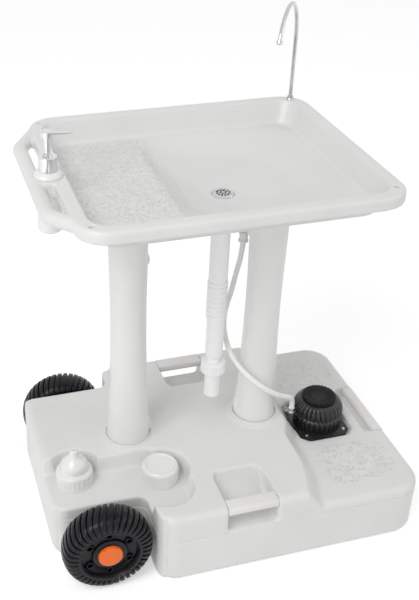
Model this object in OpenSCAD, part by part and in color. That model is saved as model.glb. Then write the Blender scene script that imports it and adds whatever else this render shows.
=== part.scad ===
// Portable wash basin: a wheeled blow-moulded water tank, two columns, a basin with a
// towel bar, a bellows pump with its supply hose, a faucet, a drain and a soap pump.
// Millimetres. X runs to the right, Y to the back, Z up from the floor.

/* [Tank] */
// Width of the tank, left to right
tank_w = 670; // [650:5:700]
// Depth of the tank, front to back
tank_d = 460; // [450:5:480]
// Height of the lower tank shell, up to the weld seam
tub_h = 92; // [90:1:93]
// Height of the raised deck that carries the columns
deck_h = 147; // [145:1:155]
// Height of the low platform around the pump
platform_h = 112; // [110:1:114]
// Height of the shelf that the two caps stand on
shelf_h = 116; // [114:1:120]
// Wall thickness of the tank shells
tank_wall = 4; // [3:0.5:5]
// Radius of the tank's upright corners
tank_corner_r = 50; // [40:2:55]
// Rounding of the tank's upper edges
tank_edge_r = 12; // [8:1:14]
// Rounding of the tank's lower edges
tank_foot_r = 8; // [5:1:10]
// Clear height above the deck of the ring that each column stands on
seat_h = 4; // [3:0.5:6]

/* [Wheels] */
// Radius of the wheels over the tread
wheel_r = 80; // [78:1:81]
// Width of each wheel
wheel_w = 58; // [50:1:59]
// Diameter of the axle rod
axle_d = 12; // [10:1:14]
// Depth of the dish in each wheel face
dish_depth = 12; // [8:1:16]
// Diameter of the dish in each wheel face
dish_d = 103; // [98:1:110]
// Depth of the tread grooves
tread_depth = 3; // [2:0.5:4]
// Grooves around each tread
tread_count = 40; // [30:2:48]
// Diameter of the hub caps
hub_cap_d = 43; // [40:1:48]

/* [Columns] */
// Distance between the two column axes
column_span = 252; // [244:2:258]
// Outer diameter of a column at its foot
column_foot_d = 79; // [76:1:82]
// Outer diameter of a column at its waist
column_waist_d = 63; // [60:1:66]
// Outer diameter of a column at its top
column_top_d = 67; // [66:1:70]
// Wall thickness of the columns
column_wall = 4; // [3:0.5:5]
// Length of the spigots that hold each column
spigot_len = 28; // [20:1:36]

/* [Basin] */
// Width of the basin over its rim
basin_w = 515; // [508:1:520]
// Depth of the basin over its rim
basin_d = 446; // [440:1:450]
// Height of the top of the basin rim
rim_top = 702; // [696:1:720]
// Width of the rolled rim
rim_w = 22; // [21:0.5:24]
// Height of the rim's outer skirt
skirt_h = 22; // [18:1:26]
// Depth from the rim to the tray
tray_drop = 40; // [37:1:42]
// Depth from the rim to the drain
bowl_drop = 78; // [74:1:82]
// Wall thickness of the basin
basin_wall = 4; // [3:0.5:4.5]
// Radius of the basin's outer corners
basin_corner_r = 50; // [46:1:56]
// Diameter of the towel bar
bar_d = 24; // [20:1:25]

/* [Drain] */
// Diameter of the drain strainer
strainer_d = 40; // [38:1:44]
// Outer diameter of the drain pipe
drain_pipe_d = 34; // [33:1:36]
// Wall thickness of the drain pipe
drain_wall = 1.6; // [1.2:0.1:2]
// Outer diameter over the ribs of the flexible stretch
drain_rib_d = 37; // [36:0.5:40]
// Ribs in the flexible stretch
drain_rib_count = 8; // [6:1:12]
// Diameter of the drain coupling
coupling_d = 46; // [44:1:50]
// Outer diameter of the open drain tail
tail_d = 30; // [28:1:32]

/* [Faucet] */
// Diameter of the faucet tube
faucet_d = 7; // [6:0.5:8]
// Height of the straight riser above the rim
riser_h = 112; // [100:2:130]
// Radius of the faucet's arch
arch_r = 78; // [72:1:84]
// Direction of the arch seen from above, in degrees from the right
arch_turn = 235; // [225:1:250]
// Diameter of the outlet tip
tip_d = 10; // [9:0.5:12]

/* [Pump and hose] */
// Diameter of the pump bellows
bellows_d = 98; // [90:1:100]
// Height of the pump above its base plate
bellows_h = 62; // [56:1:68]
// Width of the pump's base plate, left to right
plate_w = 100; // [96:1:108]
// Depth of the pump's base plate, front to back
plate_d = 114; // [108:1:120]
// Thickness of the pump's base plate
plate_t = 6; // [4:0.5:8]
// Outer diameter of the supply hose
hose_d = 10; // [8:0.5:11]

/* [Caps and soap pump] */
// Diameter of the fill cap
fill_cap_d = 68; // [64:1:70]
// Height of the fill cap
fill_cap_h = 33; // [31:1:36]
// Diameter of the spout cap
spout_cap_d = 68; // [64:1:70]
// Height of the spout cap's ring
spout_cap_h = 32; // [30:1:34]
// Outer diameter of the screw necks
neck_d = 54; // [50:1:55]
// Diameter of the soap bottle below its shoulder
soap_d = 39; // [36:0.5:40]
// Depth of the soap bottle below the rim
soap_depth = 92; // [80:1:100]
// Diameter of the soap pump's collar
soap_collar_d = 29; // [27:0.5:31]

/* [Hidden] */
$fn = 64;
hull_fn = 32;

// Clearances: a seat, a turning fit, and a gap between bodies that move apart
seat_gap = 0.3;
fit_gap = 0.05;
free_gap = 0.4;
// How far a cutting shape runs past the surface it cuts
over = 1;
// Thickness of the thin slices that the rounded shells are stretched over
slice = 0.01;

// Tank, in plan
tank_right = tank_w / 2;
tank_left = -tank_w / 2;
tank_front = -tank_d / 2;
tank_back = tank_d / 2;
// The middles of the basin and the pump, measured from the tank's middle
basin_x = -35;
pump_x = 220;

// Wheels and their arches: the front arch is deep, the rear one is close to its wheel
axle_r = axle_d / 2;
axle_block = 8;
wheel_side_gap = 1;
axle_x = tank_left + wheel_r + wheel_side_gap;
axle_z = wheel_r;
front_wheel_inset = 13;
rear_wheel_inset = 4;
front_wheel_y = tank_front + front_wheel_inset + wheel_w / 2;
rear_wheel_y = tank_back - rear_wheel_inset - wheel_w / 2;
arch_gap = 6;
front_arch_gap = 35;
rear_arch_gap = 5;
arch_x = axle_x + wheel_r + arch_gap;
front_arch_y = front_wheel_y + wheel_w / 2 + front_arch_gap;
rear_arch_y = rear_wheel_y - wheel_w / 2 - rear_arch_gap;
arch_corner_r = 18;
hub_face = wheel_w / 2 - dish_depth + 6;
hub_disc_r = 31;
clip_t = 2;
clip_r = axle_r + 3;
axle_tail = 3;
cap_pocket_r = clip_r + 2;
cap_pocket_depth = axle_tail + 1;
hub_cap_t = 7;

// Deck, platform and shelf
step_slope = 25;
step_front_x = pump_x - 118;
step_sweep = 22;
step_jog = 16;
step_origin_x = pump_x + 180;
draft = 8;
fill_x = tank_left + 205;
fill_y = tank_front + 142;
spout_x = tank_left + 54;
spout_y = tank_front + 175;
fill_cap_r = fill_cap_d / 2;
spout_cap_r = spout_cap_d / 2;
shelf_clear = 10;
shelf_back_y = tank_front + 190;
shelf_left_back_y = tank_front + 210;
shelf_front_lobe = [fill_x - 5, fill_y - 52, fill_cap_r + shelf_clear];
neck_r = neck_d / 2;
neck_wall = 4.5;
neck_bore_r = neck_r - neck_wall;
cap_top_t = 5;
cap_flute_count = 48;
cap_flute_r = 1.2;
spout_bore = 1.6;
gasket_t = 2;

// Handle recesses and their grips
grip_x = -1.5;
recess_w = 93;
scoop_r = 62;
scoop_y = 38;
scoop_floor = deck_h + 11 - scoop_r;
grip_len = recess_w - 2 * seat_gap;
grip_d = 28;
grip_t = 16;
grip_pin_r = 5;
grip_pin_len = 8;
grip_inset = grip_d / 2 + 2;
grip_z = deck_h - 10;
side_recess_y = 8;
side_recess_w = 140;
side_scoop_r = 34;
side_scoop_x = 5;
side_grip_t = 16;
side_grip_d = 22;
side_pin_r = 3;
side_pin_len = 8;
side_grip_z = platform_h - 10;

// Pump, at the middle of the platform
pump_y = 0;
pump_floor = platform_h - 10;
plate_top = pump_floor + plate_t;
plate_chamfer = 14;
plate_clear = 4;
bellows_r = bellows_d / 2;
pump_head_r = 33;
pump_head_t = 7;
bellows_top = plate_top + bellows_h - pump_head_t;
intake_r = 8;
intake_bore_r = 5;
intake_foot = 10;
screw_r = 3.5;
screw_x = 38.5;
screw_y = 42;
screw_shank_r = 1.75;
post_x = pump_x - 61;
post_y = pump_y - 9;
post_r = 6;
post_bore_r = 3;
post_top = 146;
post_socket = 3;
ear_r = 10;
clip_rise = 5;
clip_band_t = 1.2;
clip_band_h = 6;
clip_ear_len = 9;
flute_r = 2;
flute_count = 36;

// Columns
column_shift = -3;
basin_y = tank_back - basin_d / 2;
left_column_x = basin_x + column_shift - column_span / 2;
right_column_x = basin_x + column_shift + column_span / 2;
column_y = 10;
column_foot_z = deck_h + seat_h;
socket_drop = 102;
column_top_z = rim_top - socket_drop;
seat_r = column_foot_d / 2 + 10.5;
catch_t = 5;
catch_w = 16;

// Basin
rim_roll = 6;
tray_z = rim_top - tray_drop;
drain_z = rim_top - bowl_drop;
wall_lean = 14;
inner_corner_r = basin_corner_r - rim_w + 8;
bowl_x = basin_x + 69;
bowl_y = basin_y - 2;
bowl_w = 296;
bowl_d = 366;
bowl_corner_r = 60;
mid_bowl = [basin_x + 59, basin_y + 1, 190, 230, 80];
mid_bowl_rise = 12;
drain_x = basin_x + 35;
drain_y = basin_y + 6;
boss_r = column_top_d / 2 + 4;
bar_r = bar_d / 2;
bar_out = 37.5;
bar_x = basin_x - basin_w / 2 - bar_out + bar_r;
bar_z = rim_top - bar_r;
bar_half = 125;
bar_back_leg = 183;
bar_front_leg = 172;
bar_back_y = basin_y + bar_back_leg;
bar_front_y = basin_y - bar_front_leg;
bar_reach = 38;
bar_bend = 30;
bar_steps = 5;
bar_sides = 24;
corner_hole_r = 4.5;
corner_hole_depth = 12;
corner_hole_inset = [23, 26];
corner_socket_r = corner_hole_r + 4;
corner_socket_h = 16;
slit_w = 4;
slit_len = 24;
slit_inset = [17.5, 35];
slit_turn = -48;

// Drain, hung under the bowl
strainer_r = strainer_d / 2;
sleeve_r = drain_pipe_d / 2 - drain_wall - fit_gap;
sleeve_wall = 2;
sleeve_len = 34;
strainer_t = 2;
strainer_hole_r = 2;
drain_under = drain_z - basin_wall;
drain_boss_h = 3;
drain_gasket_t = 3;
drain_nut_t = 12;
drain_nut_r = drain_pipe_d / 2 + 8;
drain_gasket_top = drain_under - drain_boss_h;
drain_nut_top = drain_gasket_top - drain_gasket_t;
pipe_r = drain_pipe_d / 2;
pipe_bore_r = pipe_r - drain_wall;
pipe_top = drain_nut_top - drain_nut_t;
ribs_drop = 144;
ribs_len = 80;
ribs_top = pipe_top - ribs_drop;
ribs_bottom = ribs_top - ribs_len;
rib_r = drain_rib_d / 2;
coupling_r = coupling_d / 2;
coupling_drop = 317;
coupling_top = pipe_top - coupling_drop;
coupling_h = 23;
coupling_ribs = 20;
tail_r = tail_d / 2;
tail_wall = 2;
tail_len = 52;
pipe_end = coupling_top - 10;
socket_depth = 8;

// Faucet, through the rim's back right corner
faucet_r = faucet_d / 2;
faucet_bore_r = faucet_r - 1;
faucet_x = basin_x + basin_w / 2 - 25.5;
faucet_y = basin_y + basin_d / 2 - 21;
bush_r = faucet_r + 2;
bush_flange_r = bush_r + 1.5;
bush_flange_t = 1.5;
bush_len = 18;
faucet_tail = 34;
arch_sweep = 152;
tip_r = tip_d / 2;
tip_len = 6;
faucet_nut_t = 5;
faucet_nut_r = bush_r + 2.3;
faucet_boss_h = 16;

// Soap pump, hung in the bridge between the rim and the towel bar
soap_x = basin_x - basin_w / 2 - 3.5;
soap_y = basin_y - 19;
soap_r = soap_d / 2;
soap_hole_r = soap_r + free_gap;
soap_shoulder_r = soap_r + 3;
soap_neck_r = soap_collar_d / 2 - 1.5;
soap_shoulder_h = 10;
soap_wall = 1.5;
soap_boss_r = soap_r + 9;
soap_collar_h = 23;
soap_stem_r = 4.75;
soap_stem_h = 31;
soap_stroke = 14;
soap_head_r = 9;
soap_head_t = 10;
soap_spout_len = 40;
dip_r = 3;

// The supply hose's centre line, from the pump's outlet up to the faucet's tail
hose_start = [post_x, post_y, post_top];
hose_route = [[159, -9, 158], [159, -9, 170], [156, -11, 180], [148, -15, 188], [137, -20, 196],
    [126, -25, 204], [115, -30, 213], [103, -34, 223], [91, -36, 233], [79, -35, 243],
    [67, -31, 253], [56, -23, 263], [47, -11, 272], [40, 2, 281], [35, 14, 291],
    [31, 25, 304], [28, 34, 322], [27, 41, 346], [31, 45, 374], [40, 47, 407],
    [47, 47, 443], [53, 46, 476], [56, 46, 506], [57, 47, 530], [62, 54, 552],
    [72, 70, 574], [90, 98, 594], [112, 130, 608], [138, 160, 619], [162, 183, 628],
    [179, 196, 635], [190, 204, 642], [196, 208, 650]];
hose_end = [faucet_x, faucet_y, rim_top - faucet_tail];
// The ring of the hose that the joiner starts from, and the joiner's sizes
joiner_ring = 23;
joiner_len = 18;
joiner_t = 2.5;
lug_len = 4;
lug_t = 4;
hose_sides = 10;

// Plan shapes

module round_plan(w, d, r, n = 64) {
    square([w - 2 * r, d], center = true);
    square([w, d - 2 * r], center = true);
    for (sx = [-1, 1], sy = [-1, 1]) {
        translate([sx * (w / 2 - r), sy * (d / 2 - r)]) circle(r, $fn = n);
    }
}

// A slab of a rounded plan, and a thin slice of one, for the shells stretched over them
module plan_slab(x, y, z, h, w, d, r) {
    translate([x, y, z]) linear_extrude(h) round_plan(w, d, r, hull_fn);
}

module plan_slice(x, y, z, w, d, r) {
    plan_slab(x, y, z, slice, w, d, r);
}

// The slices that round a slab's upper edge over
module rolled_edge(x, y, z1, w, d, r, roll) {
    for (a = [30 : 30 : 90]) {
        inset = roll * (1 - cos(a));
        plan_slice(x, y, z1 - roll * (1 - sin(a)) - slice, w - 2 * inset, d - 2 * inset, r - inset);
    }
}

// A block with rounded upright corners, a rounded top edge and a small lower one
module soft_block(w, d, z0, z1, r, top_r, foot_r) {
    hull() {
        plan_slab(0, 0, z0 + foot_r, z1 - top_r - z0 - foot_r, w, d, r);
        if (foot_r > 0) {
            plan_slice(0, 0, z0, w - 2 * foot_r, d - 2 * foot_r, r - foot_r);
        }
        if (top_r > 0) {
            rolled_edge(0, 0, z1, w, d, r, top_r);
        }
    }
}

// A prism of a rounded plan about the tank's centre
module plan_prism(w, d, z0, z1, r) {
    translate([0, 0, z0]) linear_extrude(z1 - z0) round_plan(w, d, r);
}

module box(x0, x1, y0, y1, z0, z1) {
    translate([x0, y0, z0]) cube([x1 - x0, y1 - y0, z1 - z0]);
}

module rod_x(x0, x1, y, z, r) {
    translate([x0, y, z]) rotate([0, 90, 0]) cylinder(h = x1 - x0, r = r);
}

module rod_y(y0, y1, x, z, r) {
    translate([x, y1, z]) rotate([90, 0, 0]) cylinder(h = y1 - y0, r = r);
}

module rod_z(z0, z1, x, y, r) {
    translate([x, y, z0]) cylinder(h = z1 - z0, r = r);
}

function along(a, b) = (b - a) / norm(b - a);

// A side vector carried from ring to ring, so that a tube doesn't twist
function level(v, d) = let (w = v - (v * d) * d) w / norm(w);
function carried(dirs, i, v) = i >= len(dirs) ? []
    : let (s = level(v, dirs[i])) concat([s], carried(dirs, i + 1, s));

// A tube of n sides through the points, with a ring square to each direction
module tube(pts, dirs, r, n) {
    ups = carried(dirs, 0, [1, 0, 0]);
    rings = len(pts);
    verts = [for (i = [0 : rings - 1], k = [0 : n - 1])
        let (u = ups[i], v = cross(dirs[i], u), a = 360 * k / n)
            pts[i] + r * (cos(a) * u + sin(a) * v)];
    sides = [for (i = [0 : rings - 2], k = [0 : n - 1], half = [0, 1])
        let (a = i * n + k, b = i * n + (k + 1) % n)
            half == 0 ? [a, a + n, b] : [b, a + n, b + n]];
    ends = concat([for (k = [1 : n - 2]) [0, k, k + 1]],
        [for (k = [1 : n - 2]) [(rings - 1) * n, (rings - 1) * n + k + 1, (rings - 1) * n + k]]);
    polyhedron(points = verts, faces = concat(sides, ends));
}

// Tank

// The front arch and the rear arch are corners cut away over the whole height
module wheel_arches(z0, z1) {
    reach = 200;
    for (side = [-1, 1]) {
        arch_y = side < 0 ? front_arch_y : rear_arch_y;
        translate([arch_x - reach, arch_y + side * reach, z0])
            linear_extrude(z1 - z0) round_plan(2 * reach, 2 * reach, arch_corner_r);
    }
}

module side_scoop() {
    rod_y(side_recess_y - side_recess_w / 2, side_recess_y + side_recess_w / 2,
        tank_right - side_scoop_x, platform_h - 2, side_scoop_r);
}

// The water chamber in the lower shell: low and wide, then narrower beside the side grip,
// with a solid block left around the axle
module tub_chamber() {
    w = tank_wall;
    inset = tank_wall + tank_foot_r / 2;
    low_top = platform_h - 2 - side_scoop_r - w;
    block = axle_r + axle_block;
    right_high = tank_right - side_scoop_x - side_scoop_r - w;
    intersection() {
        union() {
            box(arch_x + w, tank_right, tank_front, tank_back, w, low_top);
            box(arch_x + w, right_high, tank_front, tank_back, low_top - over, tub_h + over);
            box(tank_left, arch_x + w + over, front_arch_y + w, rear_arch_y - w, w, axle_z - block);
            for (x = [[tank_left, axle_x - block], [axle_x + block, arch_x + w + over]]) {
                box(x[0], x[1], front_arch_y + w, rear_arch_y - w, axle_z - block - over, tub_h + over);
            }
        }
        plan_prism(tank_w - 2 * inset, tank_d - 2 * inset, w - over, tub_h + 2 * over, tank_corner_r - inset);
    }
}

module tank_tub() {
    color("whitesmoke") difference() {
        soft_block(tank_w, tank_d, 0, tub_h, tank_corner_r, 0, tank_foot_r);
        tub_chamber();
        wheel_arches(-over, tub_h + over);
        side_scoop();
        rod_y(tank_front, tank_back, axle_x, axle_z, axle_r + fit_gap);
    }
}

// Where the deck ends and falls to the platform: a sweep at the front, a jog at the middle
function eased(t) = let (c = min(1, max(0, t))) c * c * (3 - 2 * c);
function step_x(y) = step_front_x
    + step_sweep * sin(90 * min(1, max(0, (y - tank_front) / 110)))
    + step_jog * eased((y + 70) / 50);

// Everything right of the step and above the platform, with the step's sloping side
module above_platform() {
    h = deck_h - platform_h;
    foot = [for (y = [tank_front - 10 : 12 : tank_back + 14]) [step_x(y) + step_slope - step_origin_x, y]];
    grow = (step_origin_x - step_x(0)) / (step_origin_x - step_x(0) - step_slope);
    translate([step_origin_x, 0, platform_h])
        linear_extrude(h, scale = [grow, 1], slices = 1)
            polygon(concat([[0, tank_front - 10]], foot, [[0, foot[len(foot) - 1][1]]]));
}

// The quarter round cut along the platform's outer edge, from its outer face at r
module edge_profile(r) {
    e = tank_edge_r;
    polygon(concat([[r + over, platform_h - e], [r + over, platform_h + over], [r - e, platform_h + over]],
        [for (a = [90 : -15 : 0]) [r - e + e * cos(a), platform_h - e + e * sin(a)]]));
}

module platform_edges() {
    c = tank_corner_r;
    straight = tank_d / 2 - c;
    for (side = [-1, 1]) {
        start_x = step_x(side * tank_d / 2) + step_slope + 2;
        mirror([0, side < 0 ? 1 : 0, 0]) {
            translate([tank_right - c, straight, 0]) rotate_extrude(angle = 90) edge_profile(c);
            translate([start_x, 0, 0]) rotate([90, 0, 90])
                linear_extrude(tank_right - c - start_x) edge_profile(tank_d / 2);
        }
    }
    translate([0, straight, 0]) rotate([90, 0, 0]) linear_extrude(2 * straight) edge_profile(tank_right);
}

// A tapered well in the deck with its floor on the shelf
module shelf_lobe(x, y, r) {
    h = deck_h - shelf_h;
    translate([x, y, shelf_h]) cylinder(h = h, r1 = r, r2 = r + draft);
    rod_z(deck_h - slice, deck_h + tank_edge_r, x, y, r + draft);
}

module shelf_slot(x0, x1, y0, y1) {
    hull() {
        box(x0, x1, y0 + draft, y1 - draft, shelf_h, shelf_h + slice);
        box(x0, x1, y0, y1, deck_h + over, deck_h + over + slice);
    }
}

module cap_shelf() {
    shelf_lobe(spout_x, spout_y, spout_cap_r + shelf_clear - 2);
    shelf_lobe(fill_x, fill_y - 8, fill_cap_r + shelf_clear);
    shelf_lobe(shelf_front_lobe[0], shelf_front_lobe[1], shelf_front_lobe[2]);
    shelf_slot(spout_x, fill_x, front_arch_y - 30, shelf_back_y);
    shelf_slot(tank_left - over, spout_x, front_arch_y - 30, shelf_left_back_y);
}

// Scoops for the hand under the front grip and the back grip
module end_scoops() {
    for (side = [-1, 1]) {
        y = side * (tank_d / 2 - scoop_y);
        rod_x(grip_x - recess_w / 2, grip_x + recess_w / 2, y, scoop_floor + scoop_r, scoop_r);
        translate([grip_x, y + side * (scoop_y + over) / 2, scoop_floor + scoop_r / 2])
            cube([recess_w, scoop_y + over, scoop_r], center = true);
        rod_x(grip_x - grip_len / 2 - grip_pin_len - over, grip_x + grip_len / 2 + grip_pin_len + over,
            side * (tank_d / 2 - grip_inset), grip_z, grip_pin_r + fit_gap);
    }
}

// The ear of the base plate under the outlet post, or the well around it when grown
module post_ear(grow, top) {
    r = ear_r + grow;
    rod_z(pump_floor, top, post_x, post_y, r);
    box(post_x, pump_x - plate_w / 2 + over, post_y - r, post_y + r, pump_floor, top);
}

module pump_well() {
    translate([pump_x, pump_y, pump_floor])
        linear_extrude(deck_h) plate_plan(plate_clear);
    post_ear(plate_clear, deck_h);
    rod_z(tub_h - over, pump_floor + over, pump_x, pump_y, intake_r + free_gap);
}

// The water chamber in the cover, in straight boxes that keep clear of every recess
module cover_chamber() {
    w = tank_wall;
    top = deck_h - w;
    z0 = tub_h - over;
    arch_in = arch_x + w;
    recess_l = grip_x - recess_w / 2 - grip_pin_len - 2 * w;
    recess_r = grip_x + recess_w / 2 + grip_pin_len + 2 * w;
    scoop_in = tank_d / 2 - scoop_y - scoop_r - w;
    deck_right = step_x(tank_back) - w;
    lip = tank_wall + tank_edge_r / 2;
    box(tank_left + lip, arch_in, spout_y + spout_cap_r + shelf_clear + draft + w, rear_arch_y - w, z0, top);
    box(arch_in - over, deck_right, 0, scoop_in, z0, top);
    box(arch_in - over, recess_l, scoop_in - over, tank_back - lip, z0, top);
    box(recess_r, deck_right, scoop_in - over, tank_back - lip, z0, top);
    box(fill_x + fill_cap_r + shelf_clear + draft + w, step_front_x - w, -scoop_in, over, z0, top);
    box(tank_left + lip, arch_in + over, front_arch_y + w, over, z0, shelf_h - w);
    box(arch_in, recess_l, tank_front + lip, over, z0, shelf_h - w);
    well_front = pump_y - plate_d / 2 - plate_clear - w;
    for (y = [[tank_front + lip, well_front], [-well_front, tank_back - lip]]) {
        box(deck_right - over, tank_right - side_scoop_x - side_scoop_r - w, y[0], y[1], z0, platform_h - w);
    }
    box(step_front_x - w - over, deck_right, tank_front + lip, well_front, z0, platform_h - w);
    box(step_front_x - w - over, pump_x + plate_w / 2, well_front - over, -well_front + over,
        z0, pump_floor - w);
}

module tank_cover() {
    color("whitesmoke") difference() {
        soft_block(tank_w, tank_d, tub_h, deck_h, tank_corner_r, tank_edge_r, 0);
        above_platform();
        platform_edges();
        cap_shelf();
        end_scoops();
        side_scoop();
        pump_well();
        cover_chamber();
        rod_z(tub_h, shelf_h + over, fill_x, fill_y, neck_bore_r);
        rod_z(tub_h, shelf_h + over, spout_x, spout_y, neck_bore_r);
        wheel_arches(tub_h - over, deck_h + over);
        side_pin_holes();
        plate_screw_holes();
    }
}

// What the deck and the shelf carry: a round seat and a spigot for each column, two necks
module column_seats() {
    color("whitesmoke") for (x = [left_column_x, right_column_x]) {
        translate([x, column_y, deck_h]) cylinder(h = seat_h, r1 = seat_r + 1, r2 = seat_r - 3);
    }
}

module column_spigots() {
    color("whitesmoke") for (x = [left_column_x, right_column_x]) {
        rod_z(column_foot_z, column_foot_z + spigot_len, x, column_y, column_foot_d / 2 - column_wall - 1);
    }
}

module screw_neck(x, y, cap_h) {
    top = shelf_h + cap_h - cap_top_t - gasket_t;
    difference() {
        rod_z(shelf_h, top, x, y, neck_r);
        rod_z(shelf_h - over, top + over, x, y, neck_bore_r);
    }
}

module screw_necks() {
    color("whitesmoke") {
        screw_neck(fill_x, fill_y, fill_cap_h);
        screw_neck(spout_x, spout_y, spout_cap_h);
    }
}

module side_pin_holes() {
    half = side_recess_w / 2 - seat_gap + side_pin_len + over;
    rod_y(side_recess_y - half, side_recess_y + half, tank_right - side_grip_d / 2, side_grip_z,
        side_pin_r + fit_gap);
}

// Grips: a flat bar with rounded edges and a pin at each end
module end_grip(side) {
    y = side * (tank_d / 2 - grip_inset);
    translate([grip_x - grip_len / 2, y, grip_z])
        rotate([90, 0, 90]) linear_extrude(grip_len) round_plan(grip_d, grip_t, 5);
    rod_x(grip_x - grip_len / 2 - grip_pin_len, grip_x + grip_len / 2 + grip_pin_len, y, grip_z, grip_pin_r);
}

module front_grip() {
    color("white") end_grip(-1);
}

module back_grip() {
    color("white") end_grip(1);
}

module right_grip() {
    len = side_recess_w - 2 * seat_gap;
    x = tank_right - side_grip_d / 2;
    color("white") {
        translate([x, side_recess_y + len / 2, side_grip_z])
            rotate([90, 0, 0]) linear_extrude(len) round_plan(side_grip_d, side_grip_t, side_grip_t / 2 - 1);
        rod_y(side_recess_y - len / 2 - side_pin_len, side_recess_y + len / 2 + side_pin_len, x,
            side_grip_z, side_pin_r);
    }
}

// Wheels and axle

module axle() {
    color("silver") rod_y(front_wheel_y - hub_face - axle_tail, rear_wheel_y + hub_face + axle_tail,
        axle_x, axle_z, axle_r);
}

module axle_ring(y0, y1, r) {
    difference() {
        rod_y(y0, y1, axle_x, axle_z, r);
        rod_y(y0 - over, y1 + over, axle_x, axle_z, axle_r + fit_gap);
    }
}

module front_spacer() {
    color("dimgray") axle_ring(front_wheel_y + hub_face + free_gap, front_arch_y, axle_r + 4);
}

module rear_spacer() {
    color("dimgray") axle_ring(rear_arch_y, rear_wheel_y - hub_face - free_gap, axle_r + 4);
}

module front_clip() {
    y = front_wheel_y - hub_face - free_gap;
    color("silver") axle_ring(y - clip_t, y, clip_r);
}

module rear_clip() {
    y = rear_wheel_y + hub_face + free_gap;
    color("silver") axle_ring(y, y + clip_t, clip_r);
}

// Half of the wheel's cross-section, from the bore to the crowned tread
function crown(t) = wheel_r - 11 * pow(abs(t), 3.2);
module wheel_section() {
    half = wheel_w / 2;
    polygon(concat(
        [[axle_r + fit_gap, -hub_face], [hub_disc_r, -hub_face], [hub_disc_r + 2, -half + dish_depth],
            [dish_d / 2 - 3, -half + dish_depth], [dish_d / 2, -half]],
        [for (t = [-1 : 0.25 : 1]) [crown(t), t * half]],
        [[dish_d / 2, half], [dish_d / 2 - 3, half - dish_depth], [hub_disc_r + 2, half - dish_depth],
            [hub_disc_r, hub_face], [axle_r + fit_gap, hub_face]]));
}

// The band that the tread grooves are cut from
module tread_band() {
    half = wheel_w / 2;
    polygon(concat(
        [for (t = [-1 : 0.25 : 1]) [crown(t) - tread_depth, t * half * 1.01]],
        [[wheel_r + over, half * 1.01], [wheel_r + over, -half * 1.01]]));
}

module wheel(y) {
    groove = 360 / tread_count * 0.3;
    translate([axle_x, y, axle_z]) rotate([90, 0, 0]) difference() {
        rotate_extrude($fn = 96) wheel_section();
        for (i = [0 : tread_count - 1]) {
            rotate([0, 0, i * 360 / tread_count]) rotate_extrude(angle = groove, $fn = 96) tread_band();
        }
        for (i = [0 : 5], side = [0, 1]) {
            rotate([side * 180, 0, i * 60 + 30]) translate([41, 0, wheel_w / 2 - dish_depth - 8])
                cylinder(h = 12, r = 6);
        }
    }
}

module front_wheel() {
    color([0.13, 0.13, 0.14]) wheel(front_wheel_y);
}

module rear_wheel() {
    color([0.13, 0.13, 0.14]) wheel(rear_wheel_y);
}

// The hub cap is a shallow cup over the end of the axle, notched around its edge
module hub_cap(y, turn) {
    r = hub_cap_d / 2;
    translate([axle_x, y, axle_z]) rotate([turn, 0, 0]) difference() {
        rotate_extrude() polygon([[cap_pocket_r, 0], [r, 0], [r, hub_cap_t - 3], [r - 3, hub_cap_t],
            [0, hub_cap_t], [0, cap_pocket_depth], [cap_pocket_r, cap_pocket_depth]]);
        for (i = [0 : 5]) {
            rotate([0, 0, i * 60]) translate([r + 2.5, 0, 2]) cylinder(h = hub_cap_t, r = 4);
        }
    }
}

module front_hub_cap() {
    color("darkorange") hub_cap(front_wheel_y - hub_face, 90);
}

module rear_hub_cap() {
    color("darkorange") hub_cap(rear_wheel_y + hub_face, -90);
}

// Caps

module fill_cap() {
    r = fill_cap_r;
    z = shelf_h + seat_gap;
    inner = neck_r + free_gap;
    color("white") translate([fill_x, fill_y, z]) difference() {
        rotate_extrude() polygon([[inner, 0], [r, 0], [r, fill_cap_h - 5], [r - 1.5, fill_cap_h - 1.5],
            [r - 5, fill_cap_h], [r - 12, fill_cap_h], [r - 13, fill_cap_h - 2.5], [0, fill_cap_h - 2.5],
            [0, fill_cap_h - cap_top_t], [inner, fill_cap_h - cap_top_t]]);
        for (i = [0 : cap_flute_count - 1]) {
            rotate([0, 0, i * 360 / cap_flute_count]) translate([r + 0.7, 0, 2])
                cylinder(h = fill_cap_h - 9, r = cap_flute_r, $fn = 16);
        }
    }
}

module liner(x, y, top) {
    translate([x, y, top - gasket_t + seat_gap]) difference() {
        cylinder(h = gasket_t, r = neck_r - 0.5);
        translate([0, 0, -over]) cylinder(h = gasket_t + 2 * over, r = neck_bore_r - 1);
    }
}

module fill_gasket() {
    color("dimgray") liner(fill_x, fill_y, shelf_h + fill_cap_h - cap_top_t);
}

// The spout cap: a rounded ring, a shoulder and a cone with a small hole in its tip
module spout_cap() {
    r = spout_cap_r;
    h = spout_cap_h;
    inner = neck_r + free_gap;
    color("white") translate([spout_x, spout_y, shelf_h + seat_gap]) rotate_extrude()
        polygon([[inner, 0], [r, 0], [r, h - 9], [r - 1.5, h - 4.5], [r - 5, h - 1.5], [r - 9, h],
            [r - 11, h], [r - 11.5, h + 4], [r - 14, h + 7.5], [r - 19, h + 9], [11, h + 15],
            [7, h + 26], [5.5, h + 37], [4.2, h + 42], [spout_bore, h + 42], [spout_bore, h - cap_top_t],
            [inner, h - cap_top_t]]);
}

module spout_gasket() {
    color("dimgray") liner(spout_x, spout_y, shelf_h + spout_cap_h - cap_top_t);
}

// Pump

module plate_plan(grow) {
    w = plate_w / 2 + grow;
    d = plate_d / 2 + grow;
    c = plate_chamfer;
    polygon([[-w + c, -d], [w - c, -d], [w, -d + c], [w, d - c], [w - c, d], [-w + c, d], [-w, d - c],
        [-w, -d + c]]);
}

module at_plate_screws() {
    for (sx = [-1, 1], sy = [-1, 1]) {
        translate([pump_x + sx * screw_x, pump_y + sy * screw_y, 0]) children();
    }
}

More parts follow.
